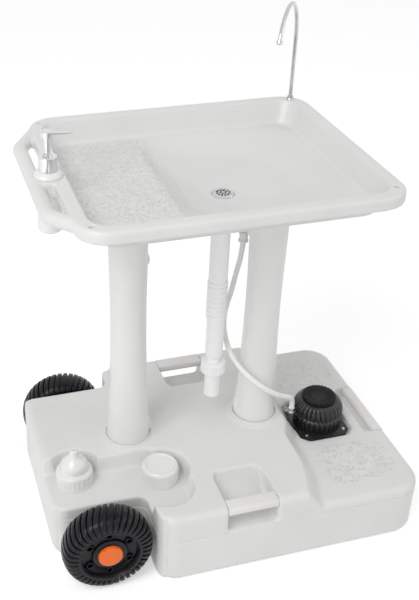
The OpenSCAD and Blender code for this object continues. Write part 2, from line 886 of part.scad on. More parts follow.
module plate_screw_holes() {
    at_plate_screws() translate([0, 0, pump_floor - 4 - over])
        cylinder(h = 5 + over, r = screw_shank_r + fit_gap);
}

module pump_plate() {
    color([0.1, 0.1, 0.11]) difference() {
        union() {
            translate([pump_x, pump_y, pump_floor]) linear_extrude(plate_t) plate_plan(0);
            post_ear(0, plate_top);
        }
        at_plate_screws() translate([0, 0, pump_floor - over])
            cylinder(h = plate_t + 2 * over, r = screw_shank_r + fit_gap);
        rod_z(pump_floor - over, plate_top + over, pump_x, pump_y, intake_bore_r);
        rod_z(plate_top - post_socket, plate_top + over, post_x, post_y, post_r);
    }
}

module pump_screws() {
    color("silver") at_plate_screws() {
        translate([0, 0, plate_top]) cylinder(h = 2.4, r1 = screw_r, r2 = screw_r - 0.8);
        translate([0, 0, pump_floor - 3]) cylinder(h = plate_t + 3, r = screw_shank_r);
    }
}

module pump_intake() {
    color("whitesmoke") difference() {
        rod_z(intake_foot, pump_floor, pump_x, pump_y, intake_r - 1);
        rod_z(intake_foot - over, pump_floor + over, pump_x, pump_y, intake_bore_r);
    }
}

// The bellows: a fluted skirt, a groove, a fluted shoulder and an open middle
module pump_bellows() {
    r = bellows_r;
    h = bellows_h - pump_head_t;
    t = 3;
    color([0.12, 0.12, 0.13]) translate([pump_x, pump_y, plate_top]) difference() {
        rotate_extrude() polygon([[r - t - 2, 0], [r, 0], [r, h * 0.42], [r - 1, h * 0.46], [r - 5, h * 0.49],
            [r - 1, h * 0.52], [r, h * 0.6], [r - 2, h * 0.76], [r - 6, h * 0.9],
            [pump_head_r + 4, h], [pump_head_r - t, h], [pump_head_r - t, h - t], [r - 8 - t, h * 0.85],
            [r - 3 - t, h * 0.7], [r - 2 - t, h * 0.5]]);
        for (i = [0 : flute_count - 1]) {
            rotate([0, 0, i * 360 / flute_count]) translate([r + 0.8, 0, -over])
                cylinder(h = h * 0.8, r = flute_r, $fn = 16);
        }
    }
}

module pump_top() {
    h = pump_head_t;
    r = pump_head_r;
    color([0.08, 0.08, 0.09]) translate([pump_x, pump_y, bellows_top]) rotate_extrude()
        polygon([[0, 0], [r, 0], [r, h - 2], [r - 2, h], [r - 6, h], [r - 7, h - 1.2], [0, h - 1.2]]);
}

// The outlet: a post from the base plate with a foot and a collar that the hose meets
module pump_outlet() {
    base = plate_top - post_socket;
    color("dimgray") difference() {
        union() {
            rod_z(base, post_top, post_x, post_y, post_r - fit_gap);
            rod_z(plate_top, plate_top + 5, post_x, post_y, post_r + 2.5);
            rod_z(post_top - 4, post_top, post_x, post_y, post_r + 1);
        }
        rod_z(base + 2, post_top + over, post_x, post_y, post_bore_r);
    }
}

// The steel clip around the hose above the outlet, with two ears to the left
module hose_clip() {
    z = post_top + clip_rise;
    r = hose_d / 2 + fit_gap;
    color("silver") difference() {
        union() {
            rod_z(z, z + clip_band_h, post_x, post_y, r + clip_band_t);
            for (side = [-1, 1]) {
                y = post_y + side * 2;
                box(post_x - r - clip_ear_len, post_x - r, y - clip_band_t / 2, y + clip_band_t / 2,
                    z, z + clip_band_h);
            }
        }
        rod_z(z - over, z + clip_band_h + over, post_x, post_y, r);
    }
}

// Supply hose: one tube swept along the route, straight and square at both ends
hose_pts = concat([hose_start], hose_route, [[faucet_x, faucet_y, hose_end[2] - hose_d], hose_end]);
hose_dirs = [for (i = [0 : len(hose_pts) - 1])
    i == 0 || i >= len(hose_pts) - 2 ? [0, 0, 1]
    : along(hose_pts[i - 1], hose_pts[i + 1])];

module supply_hose() {
    color([0.91, 0.91, 0.88]) tube(hose_pts, hose_dirs, hose_d / 2, hose_sides);
}

// The joiner in the rising stretch: a sleeve with a lug on each side
module hose_joiner() {
    p = hose_pts[joiner_ring];
    q = hose_pts[joiner_ring + 1];
    d = along(p, q);
    color("white") translate((p + q) / 2)
        rotate([0, acos(d[2]), atan2(d[1], d[0])]) translate([0, 0, -joiner_len / 2]) difference() {
            union() {
                cylinder(h = joiner_len, r = hose_d / 2 + joiner_t);
                for (z = [0, joiner_len - lug_len]) {
                    translate([0, 0, z]) cylinder(h = lug_len, r = hose_d / 2 + lug_t);
                }
            }
            translate([0, 0, -over]) cylinder(h = joiner_len + 2 * over, r = hose_d / 2 + seat_gap);
        }
}

// Columns: hollow, waisted and open at both ends
module column_shape(inset) {
    foot = column_foot_d / 2 - inset;
    waist = column_waist_d / 2 - inset;
    top = column_top_d / 2 - inset;
    z0 = column_foot_z;
    z1 = column_top_z;
    h = z1 - z0;
    rotate_extrude() polygon(concat([[0, z0], [foot, z0]],
        [for (k = [1 : 9]) let (t = k / 16) [waist + (foot - waist) * pow(1 - t / 0.6, 2), z0 + h * t]],
        [for (k = [10 : 15]) let (t = k / 16) [waist + (top - waist) * eased((t - 0.6) / 0.3), z0 + h * t]],
        [[top, z1], [0, z1]]));
}

module column(x) {
    difference() {
        translate([x, column_y, 0]) column_shape(0);
        translate([x, column_y, 0]) column_shape(column_wall);
        rod_z(column_foot_z - over, column_foot_z + spigot_len + 2, x, column_y,
            column_foot_d / 2 - column_wall - 1 + seat_gap);
        rod_z(column_top_z - spigot_len - 2, column_top_z + over, x, column_y,
            column_top_d / 2 - column_wall);
    }
}

module left_column() {
    color("whitesmoke") column(left_column_x);
}

module right_column() {
    color("whitesmoke") column(right_column_x);
}

// Two small catches on one side of a column, shaped to its wall
module column_catches(x, side, low, high) {
    difference() {
        for (z = [low, high]) {
            translate([x, column_y, z]) rotate([0, 0, side > 0 ? 0 : 180])
                box(column_waist_d / 2 - 6, column_foot_d / 2 + catch_t - (z == low ? 3 : 5),
                    -catch_w / 2, catch_w / 2, 0, z == low ? 34 : 18);
        }
        translate([x, column_y, 0]) column_shape(0);
    }
}

module left_column_catches() {
    color("whitesmoke") column_catches(left_column_x, 1, column_foot_z + 4, column_top_z - 86);
}

module right_column_catches() {
    color("whitesmoke") column_catches(right_column_x, -1, column_foot_z + 12, column_top_z - 64);
}

// Basin

module rim_block() {
    hull() {
        plan_slab(basin_x, basin_y, rim_top - skirt_h, skirt_h - rim_roll, basin_w, basin_d, basin_corner_r);
        rolled_edge(basin_x, basin_y, rim_top, basin_w, basin_d, basin_corner_r, rim_roll);
    }
}

// The hollow under the rim, between the skirt and the sloping wall
module rim_channel() {
    w = basin_wall;
    translate([basin_x, basin_y, rim_top - skirt_h - over])
        linear_extrude(skirt_h - w + over) round_plan(basin_w - 2 * w, basin_d - 2 * w, basin_corner_r - w);
}

// The space of the basin above the tray, or its outside when grown by the wall
module upper_space(grow, drop) {
    top = rim_w - grow;
    low = rim_w + wall_lean - grow;
    r = inner_corner_r + grow;
    hull() {
        plan_slice(basin_x, basin_y, rim_top - drop, basin_w - 2 * top, basin_d - 2 * top, r);
        plan_slice(basin_x, basin_y, tray_z - grow, basin_w - 2 * low, basin_d - 2 * low, r);
    }
}

// The bowl below the tray, down to the drain, or its outside when grown by the wall
module bowl_space(grow, top) {
    g = 2 * grow;
    hull() {
        plan_slice(bowl_x, bowl_y, top, bowl_w + g, bowl_d + g, bowl_corner_r + grow);
        plan_slice(mid_bowl[0], mid_bowl[1], drain_z + mid_bowl_rise - grow, mid_bowl[2] + g, mid_bowl[3] + g,
            mid_bowl[4] + grow);
        translate([drain_x, drain_y, drain_z - grow]) cylinder(h = slice, r = 32 + grow, $fn = hull_fn);
    }
}

// Towel bar: a leg, a bend, the bar, a bend and a leg, in one tube
function bar_turn(run) = atan2(bar_reach, run);
function bar_arc(side, run) = let (trim = bar_bend * tan(bar_turn(run) / 2))
    [for (k = [0 : bar_steps]) let (a = bar_turn(run) * k / bar_steps)
        [bar_x + bar_bend * (1 - cos(a)), side * (bar_half - trim + bar_bend * sin(a)), bar_z]];
bar_back_arc = bar_arc(1, bar_back_y - bar_half);
bar_pts = concat([[bar_x + bar_reach, bar_back_y, bar_z]],
    [for (k = [bar_steps : -1 : 0]) bar_back_arc[k]],
    bar_arc(-1, -bar_front_y - bar_half),
    [[bar_x + bar_reach, bar_front_y, bar_z]]);
bar_dirs = [for (i = [0 : len(bar_pts) - 1])
    along(bar_pts[max(i - 1, 0)], bar_pts[min(i + 1, len(bar_pts) - 1)])];

// The towel bar with its bridge, a ring between the rim and the bar that holds the soap bottle
module towel_bar() {
    color("whitesmoke") difference() {
        union() {
            tube(bar_pts, bar_dirs, bar_r, bar_sides);
            rod_z(rim_top - bar_d, rim_top, soap_x, soap_y, soap_boss_r);
        }
        rod_z(rim_top - bar_d - over, rim_top + over, soap_x, soap_y, soap_hole_r);
        rim_block();
    }
}

// The sockets under the basin: a boss on each column's top, and a spigot down into it
module column_sockets() {
    color("whitesmoke") difference() {
        for (x = [left_column_x, right_column_x]) {
            rod_z(column_top_z, tray_z - basin_wall + 2, x, column_y, boss_r);
            rod_z(column_top_z - spigot_len, column_top_z + over, x, column_y,
                column_top_d / 2 - column_wall - seat_gap);
        }
        upper_space(basin_wall, basin_wall);
        bowl_space(basin_wall, tray_z - over);
    }
}

module at_corner_holes() {
    front = basin_y - basin_d / 2;
    back = basin_y + basin_d / 2;
    for (y = [front + corner_hole_inset[1], back - corner_hole_inset[1]]) {
        translate([basin_x - basin_w / 2 + corner_hole_inset[0], y, 0]) children();
    }
}

// The sockets in the rim's left corners, each with a round hole from above
module corner_sockets() {
    color("whitesmoke") at_corner_holes() difference() {
        translate([0, 0, rim_top - corner_socket_h]) cylinder(h = corner_socket_h, r = corner_socket_r);
        translate([0, 0, rim_top - corner_hole_depth])
            cylinder(h = corner_hole_depth + over, r = corner_hole_r);
    }
}

module corner_slit() {
    translate([basin_x + basin_w / 2 - slit_inset[0], basin_y - basin_d / 2 + slit_inset[1],
        rim_top - basin_wall - over]) rotate([0, 0, slit_turn]) {
            half = (slit_len - slit_w) / 2;
            for (side = [-1, 1]) {
                translate([side * half, 0, 0]) cylinder(h = 2 * basin_wall, r = slit_w / 2);
            }
            translate([-half, -slit_w / 2, 0]) cube([2 * half, slit_w, 2 * basin_wall]);
        }
}

// A box over the whole plan of the basin, between two heights
module basin_layer(low, high) {
    translate([basin_x - basin_w / 2, basin_y - basin_d / 2, low]) cube([basin_w, basin_d, high - low]);
}

// The basin is one moulding, here in three pieces: the rim with the sloping walls, the tray, and
// the bowl
module basin_rim() {
    color("whitesmoke") difference() {
        union() {
            difference() {
                rim_block();
                rim_channel();
            }
            upper_space(basin_wall, basin_wall);
            intersection() {
                rod_z(rim_top - skirt_h, rim_top, soap_x, soap_y, soap_boss_r);
                rim_block();
            }
            rod_z(rim_top - faucet_boss_h, rim_top - basin_wall + 1, faucet_x, faucet_y, bush_r + 2);
        }
        upper_space(0, 0);
        upper_top_cut();
        basin_layer(tray_z - 2 * basin_wall, tray_z);
        rod_z(rim_top - bar_d - over, rim_top + over, soap_x, soap_y, soap_hole_r);
        rod_z(rim_top - skirt_h - over, rim_top + over, faucet_x, faucet_y, bush_r + fit_gap);
        at_corner_holes() translate([0, 0, rim_top - corner_socket_h - over])
            cylinder(h = corner_socket_h + 2 * over, r = corner_socket_r);
        corner_slit();
    }
}

module basin_tray() {
    color("whitesmoke") difference() {
        intersection() {
            upper_space(basin_wall, basin_wall);
            basin_layer(tray_z - 2 * basin_wall, tray_z);
        }
        bowl_space(0, tray_z + over);
    }
}

module basin_bowl() {
    color("whitesmoke") difference() {
        union() {
            bowl_space(basin_wall, tray_z - over);
            rod_z(drain_gasket_top, drain_z, drain_x, drain_y, drain_nut_r);
        }
        bowl_space(0, tray_z + over);
        basin_layer(tray_z - basin_wall, tray_z);
        rod_z(drain_gasket_top - over, drain_z + over, drain_x, drain_y, pipe_r - drain_wall);
    }
}

// Clears the rim roll from the open top of the basin
module upper_top_cut() {
    translate([basin_x, basin_y, rim_top - slice]) linear_extrude(over + slice)
        round_plan(basin_w - 2 * rim_w, basin_d - 2 * rim_w, inner_corner_r);
}

// Drain

module drain_strainer() {
    z = drain_z;
    color("silver") translate([drain_x, drain_y, z]) difference() {
        rotate_extrude() polygon([[0, strainer_t + 1.5], [8, strainer_t + 1], [strainer_r - 7, strainer_t],
            [strainer_r - 2, strainer_t], [strainer_r, 0.4], [strainer_r, 0], [sleeve_r, 0],
            [sleeve_r, -sleeve_len], [sleeve_r - sleeve_wall, -sleeve_len], [sleeve_r - sleeve_wall, -1],
            [0, 0.5]]);
        for (ring = [[6, 5], [12, 10.5]]) {
            for (i = [0 : ring[0] - 1]) {
                rotate([0, 0, i * 360 / ring[0]]) translate([ring[1], 0, -2])
                    cylinder(h = 8, r = strainer_hole_r, $fn = 24);
            }
        }
    }
}

module drain_ring(top, t, r, bore) {
    translate([drain_x, drain_y, top - t]) difference() {
        cylinder(h = t, r = r);
        translate([0, 0, -over]) cylinder(h = t + 2 * over, r = bore);
    }
}

module drain_gasket() {
    color("dimgray") drain_ring(drain_gasket_top, drain_gasket_t, drain_nut_r - 1, sleeve_r + fit_gap);
}

module drain_nut() {
    color("white") difference() {
        drain_ring(drain_nut_top, drain_nut_t, drain_nut_r, sleeve_r + fit_gap);
        for (i = [0 : 11]) {
            translate([drain_x, drain_y, drain_nut_top - drain_nut_t - over]) rotate([0, 0, i * 30])
                translate([drain_nut_r + 2, 0, 0]) cylinder(h = drain_nut_t + 2 * over, r = 4, $fn = 24);
        }
    }
}

// The drain pipe: smooth, then ribbed so that it flexes, then smooth down to the coupling
module drain_pipe() {
    rib_pitch = (ribs_top - ribs_bottom) / drain_rib_count;
    valley = pipe_r - 2;
    shoulder = rib_r - 0.6;
    rib = [[valley, 0], [shoulder, 0.2], [rib_r, 0.35], [rib_r, 0.6], [shoulder, 0.75], [valley, 0.95]];
    ribs = [for (i = [0 : drain_rib_count - 1], at = rib) [at[0], ribs_bottom + (i + at[1]) * rib_pitch]];
    bore = pipe_bore_r - 0.6;
    color("white") translate([drain_x, drain_y, 0]) rotate_extrude() polygon(concat(
        [[bore - 3, pipe_end], [13, pipe_end], [13, coupling_top + 10], [pipe_r - 1, coupling_top + 14],
            [pipe_r - 1, ribs_bottom - 2]],
        ribs,
        [[pipe_r, ribs_top + 2], [pipe_r, pipe_top], [pipe_bore_r, pipe_top],
            [pipe_bore_r, pipe_top - sleeve_len], [bore - 2, pipe_top - sleeve_len - 2],
            [bore - 2, coupling_top + 14], [bore - 3, coupling_top + 10]]));
}

module drain_coupling() {
    z = coupling_top - coupling_h;
    color("white") translate([drain_x, drain_y, z]) difference() {
        rotate_extrude() polygon([[tail_r - 0.5 + fit_gap, 0], [coupling_r - 1, 0], [coupling_r, 1],
            [coupling_r, coupling_h - 2], [coupling_r - 2, coupling_h], [13 + fit_gap, coupling_h],
            [13 + fit_gap, socket_depth], [tail_r - 0.5 + fit_gap, socket_depth]]);
        for (i = [0 : coupling_ribs - 1]) {
            rotate([0, 0, i * 360 / coupling_ribs]) translate([coupling_r + 1, 0, 2])
                cylinder(h = coupling_h - 5, r = 2, $fn = 16);
        }
    }
}

module drain_tail() {
    z = coupling_top - coupling_h - tail_len;
    color("white") difference() {
        union() {
            rod_z(z, coupling_top - coupling_h, drain_x, drain_y, tail_r);
            rod_z(z, coupling_top - coupling_h + socket_depth - seat_gap, drain_x, drain_y, tail_r - 0.5);
        }
        rod_z(z - over, coupling_top, drain_x, drain_y, tail_r - tail_wall);
    }
}

// Faucet

module faucet_bush() {
    color("silver") translate([faucet_x, faucet_y, 0]) difference() {
        union() {
            translate([0, 0, rim_top])
                cylinder(h = bush_flange_t, r1 = bush_flange_r, r2 = bush_flange_r - 1);
            translate([0, 0, rim_top + bush_flange_t - bush_len - 6]) cylinder(h = bush_len + 6, r = bush_r);
        }
        translate([0, 0, rim_top - 40]) cylinder(h = 60, r = faucet_r + fit_gap);
    }
}

module faucet_nut() {
    color("silver") translate([faucet_x, faucet_y, rim_top - faucet_boss_h - faucet_nut_t]) difference() {
        cylinder(h = faucet_nut_t, r = faucet_nut_r, $fn = 6);
        translate([0, 0, -over]) cylinder(h = faucet_nut_t + 2 * over, r = bush_r + fit_gap);
    }
}

module faucet_tube(r) {
    foot = rim_top - faucet_tail;
    top = rim_top + riser_h;
    translate([faucet_x, faucet_y, 0]) rotate([0, 0, arch_turn]) {
        translate([0, 0, foot]) rotate([0, 0, 180]) cylinder(h = top - foot, r = r);
        translate([arch_r, 0, top]) rotate([90, 0, 180]) rotate_extrude(angle = arch_sweep)
            translate([arch_r, 0]) circle(r);
    }
}

// The neck swivels in the bush; a small collar keeps it from dropping through
module faucet_neck() {
    color("silver") difference() {
        union() {
            faucet_tube(faucet_r);
            rod_z(rim_top + bush_flange_t + seat_gap, rim_top + bush_flange_t + 3.3, faucet_x, faucet_y,
                faucet_r + 2);
        }
        rod_z(rim_top - faucet_tail - over, rim_top - faucet_tail + 16, faucet_x, faucet_y, faucet_bore_r);
    }
}

// The tip: a short sleeve that goes on from the end of the arch
module faucet_tip() {
    a = arch_sweep;
    color("silver") translate([faucet_x, faucet_y, rim_top + riser_h]) rotate([0, 0, arch_turn])
        translate([arch_r * (1 - cos(a)), 0, arch_r * sin(a)]) rotate([0, a, 0]) difference() {
            cylinder(h = tip_len, r = tip_r);
            translate([0, 0, -over]) cylinder(h = tip_len + 2 * over, r = faucet_bore_r);
        }
}

// Soap pump

module soap_bottle() {
    r = soap_r;
    w = soap_wall;
    s = soap_shoulder_r;
    n = soap_neck_r;
    h = soap_shoulder_h;
    d = soap_depth;
    color("white") translate([soap_x, soap_y, rim_top]) rotate_extrude()
        polygon([[0, -d], [r - 3, -d], [r, -d + 3], [r, 0], [s, 0], [s, 3], [s - 2, 6],
            [n + 2, h - 1], [n, h], [n, h + 8], [n - w, h + 8], [n - w, h - 2],
            [r - w, 2], [r - w, -d + 3], [r - 4, -d + w], [0, -d + w]]);
}

module soap_collar() {
    z = rim_top + soap_shoulder_h;
    r = soap_collar_d / 2;
    n = soap_neck_r + fit_gap;
    m = soap_stem_r;
    h = soap_collar_h;
    color("silver") translate([soap_x, soap_y, z]) rotate_extrude()
        polygon([[n, seat_gap], [r, seat_gap], [r, h - 1], [r - 1, h], [m + 2.5, h], [m + 2.5, h + 4],
            [m + fit_gap, h + 4], [m + fit_gap, h - 4], [m + 6, h - 4], [m + 6, 9], [n, 8 + seat_gap]]);
}

// The head: a stem, a disc and a tapering spout to the right
module soap_head() {
    z0 = rim_top + soap_shoulder_h + soap_collar_h;
    z1 = z0 + soap_stem_h;
    color("silver") translate([soap_x, soap_y, 0]) {
        difference() {
            translate([0, 0, z0 - 14]) cylinder(h = z1 - z0 + 14, r = soap_stem_r);
            translate([0, 0, z0 - 15]) cylinder(h = 30, r = dip_r - 1);
        }
        translate([0, 0, z1]) cylinder(h = soap_head_t - 2, r = soap_head_r);
        translate([0, 0, z1 + soap_head_t - 2]) cylinder(h = 2, r1 = soap_head_r, r2 = soap_head_r - 3);
        translate([4, 0, z1 + 5]) rotate([0, 94, 0]) cylinder(h = soap_spout_len - 4, r1 = 3.4, r2 = 1.6);
    }
}

module soap_dip_tube() {
    z1 = rim_top + soap_shoulder_h + soap_collar_h - 14;
    z0 = rim_top - soap_depth + soap_wall + soap_stroke + 3;
    color("gainsboro") translate([soap_x, soap_y, z0]) difference() {
        cylinder(h = z1 - z0, r = dip_r);
        translate([0, 0, -over]) cylinder(h = z1 - z0 + 2 * over, r = dip_r - 1);
    }
}

tank_tub();
tank_cover();
column_seats();
column_spigots();
screw_necks();
front_grip();
back_grip();
right_grip();
axle();
front_spacer();
rear_spacer();
front_clip();
rear_clip();
front_wheel();
rear_wheel();
front_hub_cap();
rear_hub_cap();
fill_cap();
fill_gasket();
spout_cap();
spout_gasket();
pump_plate();
pump_screws();
pump_intake();
pump_bellows();
pump_top();
pump_outlet();
hose_clip();
supply_hose();
hose_joiner();
left_column();
right_column();
left_column_catches();
right_column_catches();
basin_rim();
basin_tray();
basin_bowl();
column_sockets();
corner_sockets();
towel_bar();
drain_strainer();
drain_gasket();
drain_nut();
drain_pipe();
drain_coupling();
drain_tail();
faucet_bush();
faucet_nut();
faucet_neck();
faucet_tip();
soap_bottle();
soap_collar();
soap_head();
soap_dip_tube();
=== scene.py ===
# The wash stand: a water tank on two wheels, two columns, a basin, and a faucet fed by a pump.
import math

import bmesh
import bpy
from mathutils import Matrix, Vector


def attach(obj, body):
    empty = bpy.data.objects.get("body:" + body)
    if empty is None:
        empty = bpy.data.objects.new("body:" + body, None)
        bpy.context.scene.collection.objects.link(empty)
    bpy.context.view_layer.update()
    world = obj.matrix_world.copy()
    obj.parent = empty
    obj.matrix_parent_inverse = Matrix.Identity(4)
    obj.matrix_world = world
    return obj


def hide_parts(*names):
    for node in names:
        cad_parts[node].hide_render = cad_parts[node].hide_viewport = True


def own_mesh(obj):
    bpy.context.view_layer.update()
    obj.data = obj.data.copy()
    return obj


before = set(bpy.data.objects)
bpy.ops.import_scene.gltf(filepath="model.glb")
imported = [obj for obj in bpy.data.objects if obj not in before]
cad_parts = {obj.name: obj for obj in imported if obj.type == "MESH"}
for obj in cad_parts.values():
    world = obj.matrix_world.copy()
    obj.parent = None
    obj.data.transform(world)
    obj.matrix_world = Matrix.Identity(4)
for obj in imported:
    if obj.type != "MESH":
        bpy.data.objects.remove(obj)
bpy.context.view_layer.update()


# Camera
# A long lens in front of the left wheel, looking down across the basin as in the photograph.
# It has no depth of field, and its shift only sets the stand in the frame.
view_right = Vector((0.96135, -0.2751, 0.01167))
view_up = Vector((0.13411, 0.50483, 0.85274))
view_back = Vector((-0.24048, -0.81821, 0.5222))
camera = bpy.data.objects.new("camera", bpy.data.cameras.new("camera"))
camera.matrix_world = (Matrix.Translation((-0.5237, -1.3332, 1.3178))
                       @ Matrix((view_right, view_up, view_back)).transposed().to_4x4())
camera.data.lens = 57.39
camera.data.shift_x = 0.1028
camera.data.shift_y = -0.0186
bpy.context.scene.collection.objects.link(camera)
bpy.context.scene.camera = camera
bpy.context.scene.view_settings.view_transform = "Standard"


# Floor and light
# A white sweep under soft studio light: a large lamp to the upper left, a weaker one to the right,
# and a low one to the left. The floor and the world show white to the camera, and the floor keeps
# the shadow.
def add(tree, kind, links=None, **settings):
    node = tree.nodes.new("ShaderNode" + kind)
    for key, value in settings.items():
        setattr(node, key, value)
    for socket, source in (links or {}).items():
        if isinstance(source, bpy.types.NodeSocket):
            tree.links.new(source, node.inputs[socket])
        else:
            node.inputs[socket].default_value = source
    return node


def maths(tree, operation, *values):
    return add(tree, "Math", dict(enumerate(values)), operation=operation).outputs[0]


def seen_rays(tree):
    rays = add(tree, "LightPath").outputs
    mirrored = maths(tree, "MAXIMUM", rays["Is Glossy Ray"], rays["Is Transmission Ray"])
    return maths(tree, "MAXIMUM", rays["Is Camera Ray"], mirrored)


world = bpy.data.worlds.new("studio")
world.use_nodes = True
sky = world.node_tree
sky.nodes.clear()
seen = seen_rays(sky)
level = add(sky, "MapRange", {"Value": seen, "To Min": 0.56, "To Max": 1.0})
air = add(sky, "Background", {"Color": (1, 1, 1, 1), "Strength": level.outputs[0]})
add(sky, "OutputWorld", {"Surface": air.outputs[0]})
bpy.context.scene.world = world

floor_paint = bpy.data.materials.new("floor paint")
floor_paint.use_nodes = True
tree = floor_paint.node_tree
tree.nodes.clear()
lift = add(tree, "MapRange", {"Value": seen_rays(tree), "To Min": 0.0, "To Max": 0.42})
paint = add(tree, "BsdfPrincipled", {"Base Color": (0.86, 0.86, 0.86, 1), "Roughness": 0.7,
                                     "Specular IOR Level": 0.2, "Emission Color": (1, 1, 1, 1),
                                     "Emission Strength": lift.outputs[0]})
add(tree, "OutputMaterial", {"Surface": paint.outputs[0]})

bm = bmesh.new()
bmesh.ops.create_grid(bm, x_segments=1, y_segments=1, size=9)
floor_mesh = bpy.data.meshes.new("floor")
bm.to_mesh(floor_mesh)
bm.free()
floor_mesh.materials.append(floor_paint)
floor = bpy.data.objects.new("floor", floor_mesh)
bpy.context.scene.collection.objects.link(floor)

lamps = (("key_lamp", (-1.9, -1.5, 2.9), 1.6, 44), ("fill_lamp", (2.6, -1.0, 2.2), 2.2, 12),
         ("left_lamp", (-2.2, -1.9, 0.7), 1.2, 7.5))
for name, place, size, power in lamps:
    lamp = bpy.data.lights.new(name, "AREA")
    lamp.size = size
    lamp.energy = power
    stand = bpy.data.objects.new(name, lamp)
    stand.location = place
    stand.rotation_euler = (Vector((0, 0, 0.4)) - Vector(place)).to_track_quat("-Z", "Y").to_euler()
    bpy.context.scene.collection.objects.link(stand)


# Supply hose
# A 10 mm milky vinyl hose. It leaves the pump's outlet, passes in front of the right column, rises
# beside the drain pipe and runs under the bowl to the faucet's tail. A joiner sits in the rise.
mm = 0.001


def new_effect(name, inputs, outputs):
    """A shader node group with its input and output nodes."""
    effect = bpy.data.node_groups.new(name, "ShaderNodeTree")
    for label, value in inputs.items():
        kind = "NodeSocketColor" if isinstance(value, tuple) else "NodeSocketFloat"
        effect.interface.new_socket(label, in_out="INPUT", socket_type=kind).default_value = value
    for label, kind in outputs.items():
        effect.interface.new_socket(label, in_out="OUTPUT", socket_type="NodeSocket" + kind)
    return effect, effect.nodes.new("NodeGroupInput").outputs, effect.nodes.new("NodeGroupOutput").inputs


def mixed(tree, amount, first, second):
    return add(tree, "Mix", {0: amount, 6: first, 7: second}, data_type="RGBA", blend_type="MIX").outputs[2]


def ramped(tree, value, low, high, to_low=0.0, to_high=1.0):
    return add(tree, "MapRange", {"Value": value, "From Min": low, "From Max": high, "To Min": to_low,
                                  "To Max": to_high}, interpolation_type="SMOOTHSTEP").outputs[0]


# Blow-moulded skin: a faint cloudiness in the colour, slow ripples, and a fine grain from the mould
moulded_skin, given, out = new_effect(
    "moulded skin",
    {"Colour": (0.8, 0.8, 0.8, 1), "Shade": (0.7, 0.7, 0.7, 1), "Roughness": 0.45, "Grain": 0.3,
     "Ripple": 1.0},
    {"Colour": "Color", "Roughness": "Float", "Height": "Float"})
here = add(moulded_skin, "TexCoord").outputs["Object"]
cloud = add(moulded_skin, "TexNoise", {"Vector": here, "Scale": 9.0, "Detail": 3.0}).outputs[0]
ripple = add(moulded_skin, "TexNoise", {"Vector": here, "Scale": 34.0, "Detail": 1.0}).outputs[0]
grain = add(moulded_skin, "TexNoise", {"Vector": here, "Scale": 850.0, "Detail": 2.0}).outputs[0]
cloudy = ramped(moulded_skin, cloud, 0.35, 0.75)
moulded_skin.links.new(mixed(moulded_skin, cloudy, given["Colour"], given["Shade"]), out["Colour"])
uneven = add(moulded_skin, "MapRange", {"Value": ripple, "To Min": -0.05, "To Max": 0.05}).outputs[0]
moulded_skin.links.new(maths(moulded_skin, "ADD", given["Roughness"], uneven), out["Roughness"])
fine = maths(moulded_skin, "MULTIPLY", grain, given["Grain"])
slow = maths(moulded_skin, "MULTIPLY", ripple, given["Ripple"])
moulded_skin.links.new(maths(moulded_skin, "ADD", fine, slow), out["Height"])


def moulded(name, colour, shade, roughness, grain=0.3, ripple=1.0, depth=0.25, finish=None, relief=None):
    """A moulded plastic. Finish gives further inputs of its shader, and relief an effect that puts
    out a height, with its depth in millimetres."""
    material = bpy.data.materials.new(name)
    material.use_nodes = True
    tree = material.node_tree
    tree.nodes.clear()
    skin = add(tree, "Group", {"Colour": (*colour, 1), "Shade": (*shade, 1), "Roughness": roughness,
                               "Grain": grain, "Ripple": ripple}, node_tree=moulded_skin)
    bump = add(tree, "Bump", {"Strength": 1.0, "Distance": depth * mm, "Height": skin.outputs["Height"]})
    shader = add(tree, "BsdfPrincipled", {"Base Color": skin.outputs["Colour"],
                                          "Roughness": skin.outputs["Roughness"],
                                          "Normal": bump.outputs[0]} | (finish or {}))
    add(tree, "OutputMaterial", {"Surface": shader.outputs[0]})
    if relief:
        effect, relief_depth = relief
        raised = add(tree, "Bump", {"Strength": 1.0, "Distance": relief_depth * mm,
                                    "Height": add(tree, "Group", node_tree=effect).outputs[0]})
        tree.links.new(raised.outputs[0], bump.inputs["Normal"])
    return material


def finish_nodes(material, *names):
    for name in names:
        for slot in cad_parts[name].material_slots:
            slot.material = material


def placed(obj, body, slot, *nodes):
    """Rides a finished piece on its body, and hides the nodes that it stands for. The slot is not used."""
    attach(obj, body)
    if nodes:
        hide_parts(*nodes)
    return obj


hose_vinyl = moulded("hose vinyl", (0.93, 0.93, 0.91), (0.9, 0.9, 0.87), 0.32, grain=0.15,
                     finish={"Subsurface Weight": 0.25, "Subsurface Scale": 4 * mm, "Coat Weight": 0.2})

hose_route = [
    (159, -9, 146), (159, -9, 158), (159, -9, 170), (156, -11, 180), (148, -15, 188), (137, -20, 196),
    (126, -25, 204), (115, -30, 213), (103, -34, 223), (91, -36, 233), (79, -35, 243), (67, -31, 253),
    (56, -23, 263), (47, -11, 272), (40, 2, 281), (35, 14, 291), (31, 25, 304), (28, 34, 322),
    (27, 41, 346), (31, 45, 374), (40, 47, 407), (47, 47, 443), (53, 46, 476), (56, 46, 506),
    (57, 47, 530), (62, 54, 552), (72, 70, 574), (90, 98, 594), (112, 130, 608), (138, 160, 619),
    (162, 183, 628), (179, 196, 635), (190, 204, 642), (196, 208, 650), (197, 209, 658), (197, 209, 668)]
hose_line = bpy.data.curves.new("supply_hose_line", "CURVE")
hose_line.dimensions = "3D"
hose_line.bevel_depth = 5 * mm
hose_line.bevel_resolution = 5
hose_line.resolution_u = 5
hose_line.use_fill_caps = True
spline = hose_line.splines.new("BEZIER")
spline.bezier_points.add(len(hose_route) - 1)
for point, place in zip(spline.bezier_points, hose_route):
    point.co = Vector(place) * mm
    point.handle_left_type = point.handle_right_type = "AUTO"
hose_line.materials.append(hose_vinyl)
hose = bpy.data.objects.new("supply_hose_tube", hose_line)
bpy.context.scene.collection.objects.link(hose)
